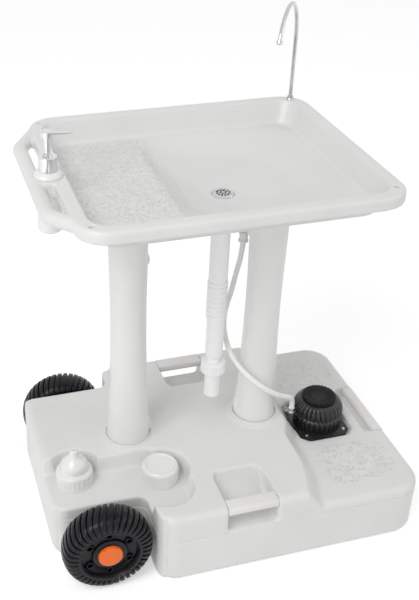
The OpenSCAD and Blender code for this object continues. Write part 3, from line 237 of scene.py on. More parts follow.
placed(hose, "stand", "hose_white", "supply_hose")

fitting_white = moulded("fitting white", (0.86, 0.86, 0.85), (0.82, 0.82, 0.81), 0.35, grain=0.1)
finish_nodes(fitting_white, "hose_joiner")


# Tank
# A blow-moulded polyethylene tank in two shells that meet at a parting line, with a deck, a shelf
# for the caps, a lower platform with a pebbled grip, and scoops behind the carrying bars.
def cad_copy(*names):
    """A copy of the CAD meshes as one mesh, each merged by itself."""
    bm = bmesh.new()
    for name in names:
        kept = set(bm.verts)
        bm.from_mesh(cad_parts[name].data)
        bmesh.ops.remove_doubles(bm, verts=[v for v in bm.verts if v not in kept], dist=1e-5)
    return bm


def as_object(name, bm):
    mesh = bpy.data.meshes.new(name)
    bm.to_mesh(mesh)
    bm.free()
    obj = bpy.data.objects.new(name, mesh)
    bpy.context.scene.collection.objects.link(obj)
    return obj


def settled(obj):
    """The mesh of a work object with its modifiers applied, and the object is removed."""
    bpy.context.view_layer.update()
    done = bpy.data.meshes.new_from_object(obj.evaluated_get(bpy.context.evaluated_depsgraph_get()))
    bm = bmesh.new()
    bm.from_mesh(done)
    for mesh in (done, obj.data):
        if mesh.users == 0:
            bpy.data.meshes.remove(mesh)
    bpy.data.objects.remove(obj)
    return bm


def fused(bm, voxel):
    """The mesh as one skin of even faces, as a mould would leave it."""
    block = as_object("work", bm)
    remesh = block.modifiers.new("fuse", "REMESH")
    remesh.mode = "VOXEL"
    remesh.voxel_size = voxel * mm
    return settled(block)


def softened(bm, rounds, verts=None):
    for _ in range(rounds):
        bmesh.ops.smooth_vert(bm, verts=verts or bm.verts, factor=0.5, use_axis_x=True, use_axis_y=True,
                              use_axis_z=True)
    return bm


def keep_outer_skin(bm):
    """Deletes every island of faces but the one that is widest along X."""
    left, islands = set(bm.verts), []
    while left:
        front = [left.pop()]
        island = list(front)
        while front:
            near = {edge.other_vert(v) for v in front for edge in v.link_edges} & left
            left -= near
            front = list(near)
            island += front
        islands.append(island)
    outer = max(islands, key=lambda island: max(v.co.x for v in island) - min(v.co.x for v in island))
    for island in islands:
        if island is not outer:
            bmesh.ops.delete(bm, geom=island, context="VERTS")


def shift(x, y, z):
    """A move given in millimetres."""
    return Matrix.Translation((x * mm, y * mm, z * mm))


def moved(bm, matrix):
    bmesh.ops.transform(bm, verts=bm.verts, matrix=matrix)
    return bm


def add_rod(bm, x, y, low, high, radius):
    bmesh.ops.create_cone(bm, cap_ends=True, segments=32, radius1=radius * mm, radius2=radius * mm,
                          depth=(high - low) * mm, matrix=shift(x, y, (low + high) / 2))


def piece(name, bm, material, body, slot, *nodes, sharp=40):
    """A finished mesh piece, shaded smooth but for its sharp edges."""
    obj = as_object(name, bm)
    obj.data.materials.append(material)
    obj.data.polygons.foreach_set("use_smooth", [True] * len(obj.data.polygons))
    obj.data.set_sharp_from_angle(angle=math.radians(sharp))
    return placed(obj, body, slot, *nodes)


def turned(profile, steps=96, closed=False):
    """A shape turned about Z from its half section, given as radius and height in millimetres."""
    bm = bmesh.new()
    verts = [bm.verts.new((radius * mm, 0, height * mm)) for radius, height in profile]
    edges = [bm.edges.new(pair) for pair in zip(verts, verts[1:] + verts[:1] if closed else verts[1:])]
    bmesh.ops.spin(bm, geom=verts + edges, cent=(0, 0, 0), axis=(0, 0, 1), angle=math.tau, steps=steps,
                   use_merge=True)
    bmesh.ops.remove_doubles(bm, verts=bm.verts, dist=1e-6)
    bmesh.ops.recalc_face_normals(bm, faces=bm.faces)
    return bm


def joined(bm, other):
    """Adds the other mesh to this one and frees it."""
    mesh = bpy.data.meshes.new("work")
    other.to_mesh(mesh)
    other.free()
    bm.from_mesh(mesh)
    bpy.data.meshes.remove(mesh)
    return bm


column_places = {"left": -164, "right": 88}
column_y = 10
fill_place = (-130, -88)
spout_place = (-281, -55)
pump_x = 220
screw_places = ((181.5, -42), (181.5, 42), (258.5, -42), (258.5, 42))

parting_z = 92
parting_gap = 0.15
upper_nodes = ("tank_cover", "column_seats", "column_spigots", "screw_necks")
# The tub's upper edge is raised into the cover, so that the two fuse
tub = cad_copy("tank_tub")
for v in tub.verts:
    if v.co.z > (parting_z - 0.1) * mm:
        v.co.z += 1.5 * mm
shells = joined(cad_copy(*upper_nodes), tub)
# Plugs close the necks and the holes in the floor of the pump's well, so that one outer skin is left
neck_plug = {"low": 112.5, "high": 116, "radius": 26.5}
well_floor = {"low": 96, "high": 101.5}
for x, y in (fill_place, spout_place):
    add_rod(shells, x, y, **neck_plug)
add_rod(shells, pump_x, 0, **well_floor, radius=10)
for x, y in screw_places:
    add_rod(shells, x, y, **well_floor, radius=4)
shells = fused(shells, voxel=3)
keep_outer_skin(shells)
softened(shells, rounds=5)


def corner_rounded(bm, corner, toward, radius):
    """Bends a square upright corner to a round one. Toward gives the sides that it points to."""
    play = 0.5
    centre = (corner[0] - radius * toward[0], corner[1] - radius * toward[1])
    for v in bm.verts:
        at = Vector(((v.co.x / mm - centre[0]) * toward[0], (v.co.y / mm - centre[1]) * toward[1]))
        size = max(at)
        if min(at) > 0 and size < radius + play:
            bent = at * (size / at.length)
            v.co.x = (centre[0] + bent.x * toward[0]) * mm
            v.co.y = (centre[1] + bent.y * toward[1]) * mm


scoop_curve_y, scoop_curve_z, scoop_curve_r = 192, 162, 62
scoop_low, scoop_high = 101, 150.5
scoop_walls = ((-48, -1, 13), (45, 1, 26))
scoop_fade = 5


def scoop_corners_rounded(bm):
    """Rounds the corners where the curved backs of the two end scoops meet their side walls, which
    are given as X, outward side and corner radius. The bend fades out past the radius."""
    for v in bm.verts:
        x, y, z = v.co / mm
        if not scoop_low < z < scoop_high:
            continue
        back = scoop_curve_y - math.sqrt(scoop_curve_r ** 2 - (scoop_curve_z - z) ** 2)
        for wall, outward, radius in scoop_walls:
            at = Vector(((x - wall) * outward + radius, back + radius - abs(y)))
            size = max(at)
            if min(at) > 0 and size < radius + scoop_fade:
                bent = (at * (size / at.length)).lerp(at, max(0, size - radius) / scoop_fade)
                v.co.x = (wall + (bent.x - radius) * outward) * mm
                v.co.y = math.copysign(back + radius - bent.y, y) * mm
                break


scoop_corners_rounded(shells)
corner_rounded(shells, (-168, -230), (-1, -1), 34)
corner_rounded(shells, (-335, -124), (-1, -1), 30)
corner_rounded(shells, (-168, 230), (-1, 1), 34)
foot_edge_z = 12
softened(shells, rounds=10, verts=[v for v in shells.verts if v.co.z < foot_edge_z * mm])


def parted(bm, z, below):
    """The shell below or above the parting line, its cut edge drawn in a little and closed."""
    draw_in = 0.5
    bmesh.ops.bisect_plane(bm, geom=bm.verts[:] + bm.edges[:] + bm.faces[:], plane_co=(0, 0, z * mm),
                           plane_no=(0, 0, 1), clear_outer=below, clear_inner=not below)
    rim = [e for e in bm.edges if e.is_boundary]
    bm.normal_update()
    for v in {v for e in rim for v in e.verts}:
        v.co -= Vector((v.normal.x, v.normal.y, 0)) * draw_in * mm
    bmesh.ops.holes_fill(bm, edges=rim, sides=0)
    return bm


# Pebbled grip: low open rings about 6 mm across, crowded over two patches of the platform
ring_grip, _, out = new_effect("ring grip", {}, {"Height": "Float"})
here = add(ring_grip, "TexCoord").outputs["Object"]
flat = add(ring_grip, "VectorMath", {0: here, 1: (1, 1, 0)}, operation="MULTIPLY").outputs[0]
cells = add(ring_grip, "TexVoronoi", {"Vector": flat, "Scale": 165.0, "Randomness": 0.8}).outputs["Distance"]
outer = ramped(ring_grip, cells, 0.36, 0.46, 1.0, 0.0)
inner = ramped(ring_grip, cells, 0.2, 0.3, 0.0, 1.0)
rings = maths(ring_grip, "MULTIPLY", outer, inner)
place = add(ring_grip, "SeparateXYZ", {0: here}).outputs
patches = 0.0
wander = add(ring_grip, "TexNoise", {"Vector": here, "Scale": 18.0, "Detail": 2.0}).outputs[0]
grip_patches = ((0.238, -0.136, 0.07, 0.054), (0.25, 0.126, 0.068, 0.066))
for x, y, half_x, half_y in grip_patches:
    across = maths(ring_grip, "DIVIDE", maths(ring_grip, "SUBTRACT", place["X"], x), half_x)
    along = maths(ring_grip, "DIVIDE", maths(ring_grip, "SUBTRACT", place["Y"], y), half_y)
    across = maths(ring_grip, "POWER", maths(ring_grip, "ABSOLUTE", across), 4.0)
    along = maths(ring_grip, "POWER", maths(ring_grip, "ABSOLUTE", along), 4.0)
    ragged = maths(ring_grip, "ADD", maths(ring_grip, "ADD", across, along), wander)
    patches = maths(ring_grip, "MAXIMUM", patches, ramped(ring_grip, ragged, 1.25, 1.6, 1.0, 0.0))
ring_grip.links.new(maths(ring_grip, "MULTIPLY", rings, patches), out["Height"])

tank_plastic = moulded("tank polyethylene", (0.78, 0.78, 0.765), (0.75, 0.75, 0.735), 0.42, grain=0.35,
                       ripple=1.2, relief=(ring_grip, 0.62))

upper = parted(shells.copy(), parting_z + parting_gap, False)
# A low bead on each seat, close around the column's foot
for x in column_places.values():
    bead = turned([(41.2, 149), (41.2, 153.2), (41.8, 154.1), (42.8, 154.4), (44, 153.8), (44.8, 149)], 120,
                  closed=True)
    joined(upper, moved(bead, shift(x, column_y, 0)))
piece("tank_upper_shell", upper, tank_plastic, "stand", "tank_plastic", *upper_nodes, sharp=60)
lower = parted(shells, parting_z - parting_gap, True)
piece("tank_lower_shell", lower, tank_plastic, "stand", "tank_plastic", "tank_tub", sharp=60)


# Carrying bars
# Three moulded bars, slightly warmer than the tank: one across the front scoop, one across the
# back scoop, and a rounder one along the right side. Pins at their ends clip into the tank.
grip_plastic = moulded("grip plastic", (0.83, 0.81, 0.80), (0.80, 0.775, 0.765), 0.38, grain=0.2)


def add_box(bm, place, size):
    """Adds a box, its place given as a matrix and its size in millimetres."""
    bmesh.ops.create_cube(bm, size=1, matrix=place @ Matrix.Diagonal((*(side * mm for side in size), 1)))


def bevelled(bm, edges, offset, segments, clamped=False):
    bmesh.ops.bevel(bm, geom=edges, offset=offset * mm, affect="EDGES", segments=segments, profile=0.5,
                    material=-1, clamp_overlap=clamped)


pin_length = 8


def carrying_bar(length, depth, thick, edge, pin_radius):
    """A bar along X with rounded edges, and a pin at each end."""
    bm = bmesh.new()
    add_box(bm, Matrix.Identity(4), (length, depth, thick))
    bevelled(bm, [e for e in bm.edges if abs(e.verts[0].co.x - e.verts[1].co.x) > 1 * mm], edge, 5)
    bevelled(bm, [e for e in bm.edges if abs(e.verts[0].co.x - e.verts[1].co.x) < 0.01 * mm], 1.2, 2)
    for side in (-1, 1):
        bmesh.ops.create_cone(bm, cap_ends=True, segments=24, radius1=pin_radius * mm,
                              radius2=(pin_radius - 0.6) * mm, depth=(pin_length + 2) * mm,
                              matrix=shift(side * (length / 2 + pin_length / 2 - 1), 0, 0)
                              @ Matrix.Rotation(side * math.pi / 2, 4, "Y"))
    return bm


for name, side in (("front", -1), ("back", 1)):
    bm = carrying_bar(length=92.4, depth=28, thick=16, edge=5, pin_radius=4.8)
    moved(bm, shift(-1.5, side * 214, 137))
    piece(name + "_carrying_bar", bm, grip_plastic, "stand", "grip_plastic", name + "_grip")
bm = carrying_bar(length=139.4, depth=22, thick=16, edge=7, pin_radius=2.9)
moved(bm, shift(324, 8, 102) @ Matrix.Rotation(math.pi / 2, 4, "Z"))
piece("right_carrying_bar", bm, grip_plastic, "stand", "grip_plastic", "right_grip")


# Axle
# A plated steel axle through the lower shell, with a black spacer inside each wheel and a
# retaining clip outside it, pressed on under the hub cap.
metal_wear, given, out = new_effect("metal wear", {"Bright": (0.7, 0.7, 0.7, 1), "Dull": (0.5, 0.5, 0.5, 1),
                                                   "Smooth": 0.1, "Rough": 0.3},
                                    {"Colour": "Color", "Roughness": "Float", "Height": "Float"})
here = add(metal_wear, "TexCoord").outputs["Object"]
smear = add(metal_wear, "TexNoise", {"Vector": here, "Scale": 60.0, "Detail": 5.0,
                                     "Roughness": 0.6}).outputs[0]
hair = add(metal_wear, "TexNoise", {"Vector": here, "Scale": 1400.0, "Detail": 2.0}).outputs[0]
dulled = ramped(metal_wear, smear, 0.4, 0.75)
metal_wear.links.new(mixed(metal_wear, dulled, given["Bright"], given["Dull"]), out["Colour"])
metal_wear.links.new(add(metal_wear, "MapRange", {"Value": dulled, "To Min": given["Smooth"],
                                                  "To Max": given["Rough"]}).outputs[0], out["Roughness"])
metal_wear.links.new(hair, out["Height"])


def metal(name, bright, dull, smooth, rough):
    material = bpy.data.materials.new(name)
    material.use_nodes = True
    tree = material.node_tree
    tree.nodes.clear()
    worn = add(tree, "Group", {"Bright": (*bright, 1), "Dull": (*dull, 1), "Smooth": smooth, "Rough": rough},
               node_tree=metal_wear)
    bump = add(tree, "Bump", {"Strength": 1.0, "Distance": 0.01 * mm, "Height": worn.outputs["Height"]})
    shader = add(tree, "BsdfPrincipled", {"Base Color": worn.outputs["Colour"], "Metallic": 1.0,
                                          "Roughness": worn.outputs["Roughness"], "Normal": bump.outputs[0]})
    add(tree, "OutputMaterial", {"Surface": shader.outputs[0]})
    return material


zinc = metal("zinc plate", (0.62, 0.63, 0.64), (0.5, 0.5, 0.5), 0.25, 0.42)
finish_nodes(zinc, "axle", "front_clip", "rear_clip")

black_plastic = moulded("black plastic", (0.022, 0.022, 0.025), (0.03, 0.03, 0.033), 0.3, grain=0.4,
                        ripple=0.6)
finish_nodes(black_plastic, "front_spacer", "rear_spacer")


# Wheels
# Hollow black plastic wheels 160 mm across: forty slanted lamellae over a rounded crown, a rim,
# a dish with six collared holes, and a raised hub face that holds the cap.
wheel_plastic = moulded("wheel plastic", (0.006, 0.005, 0.008), (0.01, 0.009, 0.012), 0.26, grain=0.5,
                        ripple=0.8, finish={"Specular IOR Level": 0.24})


def sharp_edges(bm, limit):
    return [e for e in bm.edges if len(e.link_faces) == 2 and e.calc_face_angle() > math.radians(limit)]


def cut(bm, cutter):
    """The mesh with the cutter's volume taken out of it."""
    block, tool = as_object("work", bm), as_object("tool", cutter)
    boolean = block.modifiers.new("cut", "BOOLEAN")
    boolean.operation = "DIFFERENCE"
    boolean.solver = "EXACT"
    boolean.object = tool
    done = settled(block)
    bpy.data.meshes.remove(tool.data)
    return done


wheel_places = {"front": (-254, -188, 80), "rear": (-254, 197, 80)}
wheel_half = 29
lamella_count, lamella_share, lamella_slant = 40, 0.72, math.radians(7)
lamella_depth = 4.5
hole_count, hole_ring_r, hole_r, dish_z = 6, 40, 4.6, 17
crown = [(54, -28.2), (60, -28.6), (66, -27.9), (71, -25.8), (75, -21.8), (77.8, -16), (79.4, -8.5), (80, 0),
         (79.4, 8.5), (77.8, 16), (75, 21.8), (71, 25.8), (66, 27.9), (60, 28.6), (54, 28.2)]


def lamella():
    """One rib of the tread: a strip of the crown, about 4 mm proud of the groove beside it."""
    bm = bmesh.new()
    inner = [(radius - lamella_depth, height * 0.9) for radius, height in crown]
    section = crown + inner[::-1]
    verts = [bm.verts.new((radius * mm, 0, height * mm)) for radius, height in section]
    face = bm.faces.new(verts)
    wide = math.tau / lamella_count * lamella_share
    bmesh.ops.spin(bm, geom=[face, *face.edges, *face.verts], cent=(0, 0, 0), axis=(0, 0, 1),
                   angle=wide, steps=3)
    bmesh.ops.recalc_face_normals(bm, faces=bm.faces)
    long_edges = [e for e in sharp_edges(bm, 60) if all(v.co.xy.length > 52 * mm for v in e.verts)]
    bevelled(bm, long_edges, 1.0, 2, clamped=True)
    for v in bm.verts:
        lean = lamella_slant * v.co.z / (wheel_half * mm)
        v.co = Matrix.Rotation(lean, 3, "Z") @ v.co
    return bm


def wheel():
    half = [(7.1, 23), (29.2, 23), (30.6, 22.4), (31.3, 21), (32, 17.8), (33.2, 17), (46.8, 17), (48.2, 17.6),
            (49, 19.2), (50.4, 27.2), (51.4, 28.6), (53, 29), (55.4, 28.4), (58, 26.4), (64, 24.5),
            (70, 21.5), (73.5, 16), (75.6, 9), (76.4, 0)]
    body = turned(half + [(radius, -height) for radius, height in half[-2::-1]], 120, closed=True)
    hole_spots = [Matrix.Rotation(math.radians(360 / hole_count * i + 30), 4, "Z") @ shift(hole_ring_r, 0, 0)
                  for i in range(hole_count)]
    holes = bmesh.new()
    for spot in hole_spots:
        for side in (-1, 1):
            bmesh.ops.create_cone(holes, cap_ends=True, segments=28, radius1=hole_r * mm, radius2=hole_r * mm,
                                  depth=16 * mm, matrix=spot @ shift(0, 0, side * (dish_z + 2)))
    body = cut(body, holes)
    for spot in hole_spots:
        for side in (-1, 1):
            collar = turned([(4.7, 16), (4.7, 20.6), (5.2, 21.2), (6.2, 21.2), (6.8, 20.6), (7.4, 16)], 28,
                            closed=True)
            turn = Matrix.Rotation(0 if side > 0 else math.pi, 4, "X")
            joined(body, moved(collar, spot @ turn))
            web = bmesh.new()
            add_box(web, spot @ turn @ shift(8, 0, 18.6), (5, 2.2, 4))
            bevelled(web, web.edges[:], 0.5, 1)
            joined(body, web)
    rib = lamella()
    for i in range(lamella_count):
        joined(body, rib.copy())
        bmesh.ops.rotate(rib, verts=rib.verts, cent=(0, 0, 0),
                         matrix=Matrix.Rotation(math.tau / lamella_count, 3, "Z"))
    rib.free()
    return body


for name, place in wheel_places.items():
    bm = moved(wheel(), shift(*place) @ Matrix.Rotation(math.pi / 2, 4, "X"))
    piece(name + "_wheel_moulding", bm, wheel_plastic, name + "_wheel_set", "wheel_black", name + "_wheel",
          sharp=35)


# Hub caps
# Orange snap-in caps that hide the axle's ends: a shallow dome with a rounded edge and six small
# notches for a screwdriver.
orange_plastic = moulded("orange plastic", (0.89, 0.17, 0.022), (0.84, 0.145, 0.018), 0.38, grain=0.25,
                         finish={"Specular IOR Level": 0.35})
hub_face = 23
for name, outward in (("front", -1), ("rear", 1)):
    bm = turned([(0, 4), (11, 4), (11.5, 0.4), (12, 0), (20.6, 0), (21.5, 0.8), (21.5, 4.4), (20.9, 5.7),
                 (19.4, 6.4), (12, 6.8), (0, 7)])
    notches = bmesh.new()
    for i in range(6):
        spot = Matrix.Rotation(math.radians(60 * i), 4, "Z") @ shift(23.2, 0, 5)
        bmesh.ops.create_cone(notches, cap_ends=True, segments=20, radius1=3.4 * mm, radius2=3.6 * mm,
                              depth=6 * mm, matrix=spot)
    x, y, z = wheel_places[name]
    bm = moved(cut(bm, notches), shift(x, y + outward * hub_face, z)
               @ Matrix.Rotation(math.radians(-90 * outward), 4, "X"))
    piece(name + "_hub_cover", bm, orange_plastic, name + "_wheel_set", "hub_orange", name + "_hub_cap",
          sharp=35)


# Fill cap and spout cap
# Two white screw caps of moulded plastic with soft flutes, each with a rubber liner inside. The
# fill cap has a sunk top. The spout cap carries a dome that narrows to a nub with a small hole.
cap_plastic = moulded("cap plastic", (0.82, 0.82, 0.81), (0.79, 0.79, 0.78), 0.25, grain=0.1, ripple=0.5,
                      finish={"Coat Weight": 0.25, "Coat Roughness": 0.15})
seal_rubber = moulded("seal rubber", (0.05, 0.05, 0.05), (0.07, 0.07, 0.07), 0.7, grain=0.6)
finish_nodes(seal_rubber, "fill_gasket", "spout_gasket")


cap_foot_z = 116.3
cap_flutes, flute_low, wall_inside = 24, 1, 33


def fluted(bm, depth, flute_high):
    """Presses soft flutes into the outer wall of a cap, from near its foot to the given height."""
    for v in bm.verts:
        r = v.co.xy.length
        if r > wall_inside * mm and flute_low * mm < v.co.z < flute_high * mm:
            angle = math.atan2(v.co.y, v.co.x) * cap_flutes
            fade = min(1, (v.co.z / mm - flute_low) / 2, (flute_high - v.co.z / mm) / 3)
            v.co.xy *= 1 - depth * mm * fade * (0.5 - 0.5 * math.cos(angle)) / r
    return bm


fill_profile = [(29.4, 0), (33, 0), (34, 0.8), (34, 4), (34, 8), (34, 12), (34, 16), (34, 20), (33.9, 23),
                (33.6, 26), (32.9, 28.6), (31.8, 30.6), (30.4, 32), (29, 32.8), (27.8, 33), (27, 32.7),
                (26.4, 31.9), (25.8, 30.7), (24.8, 30), (22, 29.8), (0, 29.8), (0, 28), (29.4, 28)]
bm = moved(fluted(turned(fill_profile, 240), 0.45, 27), shift(*fill_place, cap_foot_z))
piece("fill_cap_moulding", bm, cap_plastic, "fill_cap_set", "cap_white", "fill_cap", sharp=50)

spout_profile = [(29.4, 0), (33, 0), (34, 0.8), (34, 5), (34, 10), (34, 15), (33.9, 20), (33.6, 23.4),
                 (32.8, 26), (31.4, 28), (29.6, 29.2), (27.4, 29.7), (26, 30), (25.4, 30.8), (25.2, 32.6),
                 (25.2, 36), (24.7, 40), (23.2, 44), (20.6, 47.6), (17.4, 50.6), (14.2, 53.2), (11.4, 56),
                 (9.2, 59.6), (7.8, 63), (7, 66.5), (6.4, 69.4), (5.2, 71.2), (3.4, 72), (1.7, 71.6),
                 (1.6, 60), (1.6, 27), (29.4, 27)]
bm = moved(fluted(turned(spout_profile, 240, closed=True), 0.9, 26), shift(*spout_place, cap_foot_z))
piece("spout_cap_moulding", bm, cap_plastic, "spout_cap_set", "cap_white", "spout_cap", sharp=50)


# Pump
# A foot pump in a well of the platform: a black base plate with chamfered corners, held by four
# pan-head screws, a fluted rubber bellows with a groove at half height, and a ridged dull top.
pump_black = moulded("pump black", (0.011, 0.011, 0.013), (0.017, 0.017, 0.019), 0.34, grain=0.5,
                     ripple=0.6, finish={"Specular IOR Level": 0.35})
bm = bmesh.new()
add_box(bm, shift(pump_x, 0, 105), (100, 114, 6))
bevelled(bm, [e for e in bm.edges if abs(e.verts[0].co.z - e.verts[1].co.z) > 1 * mm], 14, 1)
bevelled(bm, sharp_edges(bm, 60), 0.8, 2, clamped=True)
# An ear and its web reach left under the outlet post
ear = turned([(0, 102.1), (9.4, 102.1), (10, 102.6), (10, 107.1), (9.4, 107.8), (0, 107.8)], 48)
joined(bm, moved(ear, shift(159, -9, 0)))
web = bmesh.new()
add_box(web, shift(166, -9, 104.9), (13, 19.4, 5.6))
joined(bm, web)
piece("pump_base_plate", bm, pump_black, "stand", "black_plastic", "pump_plate", sharp=30)

bm = bmesh.new()
for i, (x, y) in enumerate(screw_places):
    head = turned([(0, 0), (1.7, 0), (1.7, 9), (3.5, 9), (3.5, 9.9), (3.1, 10.8), (2.2, 11.3), (0, 11.4)], 28)
    # The two slots of the cross are cut one after the other
    for turn in (0, 90):
        slot = bmesh.new()
        add_box(slot, Matrix.Rotation(math.radians(turn + 25 * i), 4, "Z") @ shift(0, 0, 11.4),
                (3.8, 0.7, 2.2))
        head = cut(head, slot)
    joined(bm, moved(head, shift(x, y, 99)))
piece("pump_pan_screws", bm, zinc, "stand", "steel", "pump_screws", sharp=35)
finish_nodes(fitting_white, "pump_intake")

bellows_rubber = moulded("bellows rubber", (0.010, 0.010, 0.012), (0.016, 0.016, 0.018), 0.27, grain=0.4,
                         finish={"Specular IOR Level": 0.4, "Coat Weight": 0.15, "Coat Roughness": 0.2})
bellows_flutes = 30
bellows_foot_z, bellows_h = 108, 55
groove_low, groove_high = 24, 29
skirt_flute, groove_flute, dome_flute = 2.2, 0.9, 2.6
outside = [(44, 0), (48.6, 0), (49, 1), (49, 4), (49, 8), (49, 12), (49, 16), (49, 19), (48.8, 21.4),
           (48.2, 23.2), (47, 24.6), (45.4, 25.8), (44.3, 26.8), (44.3, 27.7), (45.6, 28.4), (47.4, 29.1),
           (48.5, 30.2), (49, 32), (48.9, 34), (48.5, 37), (47.8, 40), (46.8, 43), (45.2, 46), (43.2, 49),
           (40.8, 51.8), (38.4, 53.8), (36.4, 55)]
inside = [(30.2, 55), (30.2, 52), (38, 46), (42, 39), (42, 31), (41.5, 27), (43.5, 22), (44, 10)]
bm = turned(outside + inside, 360, closed=True)
for v in bm.verts:
    radius, height = v.co.xy.length / mm, v.co.z / mm
    wall = min(abs(radius - r) + abs(height - z) for r, z in outside)
    if wall < 0.05 and radius > 36:
        flute = abs(math.sin(math.atan2(v.co.y, v.co.x) * bellows_flutes / 2)) ** 0.6
        depth = skirt_flute if height < groove_low else groove_flute if height < groove_high else dome_flute
        depth *= min(1, height / 1.5, (bellows_h - height) / 5)
        v.co.xy *= 1 - depth * (1 - flute) / radius
moved(bm, shift(pump_x, 0, bellows_foot_z))
bellows = piece("pump_fluted_bellows", bm, bellows_rubber, "stand", "bellows_rubber", "pump_bellows",
                sharp=50)
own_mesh(bellows)

# The top carries as many ridges as the bellows has flutes. They run over its edge to a shallow dish
bm = turned([(0, 0), (32.4, 0), (33, 0.6), (33, 2), (33, 3.5), (33, 4.6), (32.5, 5.8), (31.4, 6.7), (30, 7),
             (28, 7), (26, 6.9), (24, 6.8), (22, 6.7), (20, 6.6), (18, 6.5), (16, 6.3), (14, 6), (12, 5.7),
             (8, 5.4), (0, 5.3)], 360)
press_r, dish_r = 33, 11
ridge_side, ridge_drop = 1.1, 1.3
for v in bm.verts:
    radius, height = v.co.xy.length / mm, v.co.z / mm
    if radius > dish_r and height > 1:
        tooth = abs(math.sin(math.atan2(v.co.y, v.co.x) * bellows_flutes / 2)) ** 0.7
        fade = min(1, (radius - dish_r) / 8)
        v.co.xy *= 1 - ridge_side * (1 - tooth) * min(1, radius / press_r) / radius
        v.co.z -= ridge_drop * mm * (1 - tooth) * min(1, (height - 1) / 5) * fade
moved(bm, shift(pump_x, 0, bellows_foot_z + bellows_h))
top_black = moulded("pump top black", (0.005, 0.004, 0.006), (0.008, 0.007, 0.009), 0.4, grain=0.9,
                    ripple=0.5, depth=0.35, finish={"Specular IOR Level": 0.2})
piece("pump_press_top", bm, top_black, "pump_button", "black_plastic", "pump_top", sharp=35)

grey_plastic = moulded("grey plastic", (0.09, 0.09, 0.09), (0.07, 0.07, 0.07), 0.4, grain=0.4)
finish_nodes(grey_plastic, "pump_outlet")
finish_nodes(zinc, "hose_clip")


# Columns
# Two hollow blow-moulded columns on spigots of the tank, waisted at half height, with a moulded
# catch near the foot and one near the top of each.
column_plastic = moulded("column polyethylene", (0.83, 0.83, 0.82), (0.8, 0.8, 0.79), 0.4, grain=0.3,
                         ripple=1.3)
finish_nodes(column_plastic, "left_column", "right_column")

foot_r, waist_r, top_r = 39.5, 31.5, 33.5
foot_z, top_z = 151, 600
waist_share, swell_share = 0.6, 0.3
catch_half, rail_half = 8, 3


def column_radius(z):
    share = (z - foot_z) / (top_z - foot_z)
    if share < waist_share:
        return waist_r + (foot_r - waist_r) * (1 - share / waist_share) ** 2
    rise = min(1, (share - waist_share) / swell_share)
    return waist_r + (top_r - waist_r) * rise * rise * (3 - 2 * rise)


def wall_strip(bm, stations, half_width):
    """A raised strip up a column's +X side, from pairs of height and how far it stands proud."""
    sink = 1.5
    rows = []
    for z, proud in stations:
        foot = column_radius(z) - sink
        face = column_radius(z) + proud
        soft = min(half_width * 0.4, max(proud, 0.2))
        ring = [(foot, -half_width), (face - soft, -half_width), (face, soft - half_width),
                (face, half_width - soft), (face - soft, half_width), (foot, half_width)]
        rows.append([bm.verts.new((x * mm, y * mm, z * mm)) for x, y in ring])
    for low, high in zip(rows, rows[1:]):
        for i in range(6):
            j = (i + 1) % 6
            bm.faces.new((low[i], low[j], high[j], high[i]))
    bm.faces.new(rows[0][::-1])
    bm.faces.new(rows[-1])
    return bm


for name, turn, low, high in (("left", 0, 155, 514), ("right", 180, 163, 536)):
    bm = bmesh.new()
    wall_strip(bm, [(low, 0.3), (low + 1.5, 2.6), (low + 5, 4.4), (low + 10, 4.6), (low + 18, 3.4),
                    (low + 27, 1.8), (low + 34, 0.8)], catch_half)
    wall_strip(bm, [(high, 0.6), (high + 1.5, 2.2), (high + 5, 3.4), (high + 9, 3.4), (high + 14, 1.8),
                    (high + 18, 0.6)], catch_half)
    # A low rail runs between the two catches
    rail_low, rail_high = low + 30, high + 2
    rail = [rail_low + (rail_high - rail_low) * i / 40 for i in range(41)]
    wall_strip(bm, [(z, 1.3) for z in rail], rail_half)
    bmesh.ops.recalc_face_normals(bm, faces=bm.faces)
    moved(bm, shift(column_places[name], column_y, 0) @ Matrix.Rotation(math.radians(turn), 4, "Z"))
    piece(name + "_column_trim", bm, column_plastic, "stand", "column_plastic", name + "_column_catches",
          sharp=40)


# Basin
# One blow-moulded bowl with a rolled rim, a shallow tray with a pebbled floor to the left, a deep
# bowl to the right, and a towel bar with a bridge for the soap bottle.

# Pebbled floor: small beads that end at the tray's four sides and at the height of its floor
tray_grain, _, out = new_effect("tray grain", {}, {"Height": "Float"})
here = add(tray_grain, "TexCoord").outputs["Object"]
place = add(tray_grain, "SeparateXYZ", {0: here}).outputs
beads = add(tray_grain, "TexVoronoi", {"Vector": here, "Scale": 210.0, "Randomness": 0.9}).outputs["Distance"]
bead = ramped(tray_grain, beads, 0.1, 0.6, 1.0, 0.0)
left_of = ramped(tray_grain, place["X"], -0.1, -0.075, 1.0, 0.0)
right_of = ramped(tray_grain, place["X"], -0.262, -0.25)
ahead = ramped(tray_grain, place["Y"], 0.175, 0.19, 1.0, 0.0)
behind = ramped(tray_grain, place["Y"], -0.19, -0.175)
low = ramped(tray_grain, place["Z"], 0.664, 0.668, 1.0, 0.0)
field = left_of
for edge in (right_of, ahead, behind, low):
    field = maths(tray_grain, "MULTIPLY", field, edge)
tray_grain.links.new(maths(tray_grain, "MULTIPLY", bead, field), out["Height"])

basin_plastic = moulded("basin polyethylene", (0.765, 0.765, 0.755), (0.735, 0.735, 0.725), 0.33,
                        grain=0.2, finish={"Coat Weight": 0.15, "Coat Roughness": 0.25},
                        relief=(tray_grain, 1.0))

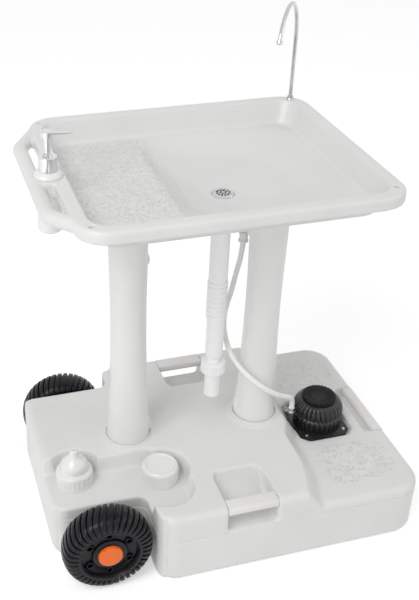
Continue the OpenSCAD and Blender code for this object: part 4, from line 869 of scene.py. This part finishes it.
basin_nodes = ("basin_rim", "basin_tray", "basin_bowl", "column_sockets", "corner_sockets", "towel_bar")
bm = fused(cad_copy(*basin_nodes), voxel=2.2)
keep_outer_skin(bm)
softened(bm, rounds=4)
# The floors of the tray and the bowl are smoothed further, but for the seat of the drain
drain_place, drain_seat_r = Vector((0, 0.013)), 0.03
floor_top_z = 0.69
floor_verts = [v for v in bm.verts if v.co.z < floor_top_z and v.normal.z > 0.1 and -0.28 < v.co.x < 0.21
               and -0.2 < v.co.y < 0.21 and (v.co.xy - drain_place).length > drain_seat_r]
softened(bm, rounds=14, verts=floor_verts)
most_triangles = 185000
block = as_object("work", bm)
thin = block.modifiers.new("thin", "DECIMATE")
thin.ratio = min(1, most_triangles / (2 * len(block.data.polygons)))
bm = settled(block)
piece("basin_moulding", bm, basin_plastic, "stand", "basin_plastic", *basin_nodes, sharp=60)


# Drain
# A chromed strainer in the bowl, clamped by a white nut under it, and a ribbed white pipe that
# hangs down to a grooved coupling with an open tail.
chrome = metal("chrome", (0.56, 0.57, 0.59), (0.48, 0.49, 0.51), 0.05, 0.16)
finish_nodes(chrome, "drain_strainer")
finish_nodes(seal_rubber, "drain_gasket")
pipe_plastic = moulded("pipe plastic", (0.94, 0.94, 0.94), (0.92, 0.92, 0.92), 0.4, grain=0.15)
finish_nodes(pipe_plastic, "drain_nut", "drain_pipe", "drain_coupling", "drain_tail")


# Faucet
# A slim chromed swan neck that swivels in a bush in the rim's back corner and is held by a nut
# under it. The hose is pushed on its tail.
finish_nodes(chrome, "faucet_bush", "faucet_nut", "faucet_neck", "faucet_tip")


# Soap pump
# A white bottle that hangs in the bridge by its shoulder, with a bright collar, a stem and a flat
# head whose thin spout points over the basin.
soap_chrome = metal("soap pump plating", (0.74, 0.74, 0.75), (0.66, 0.66, 0.67), 0.08, 0.2)
finish_nodes(cap_plastic, "soap_bottle")
finish_nodes(soap_chrome, "soap_collar", "soap_head")
finish_nodes(fitting_white, "soap_dip_tube")
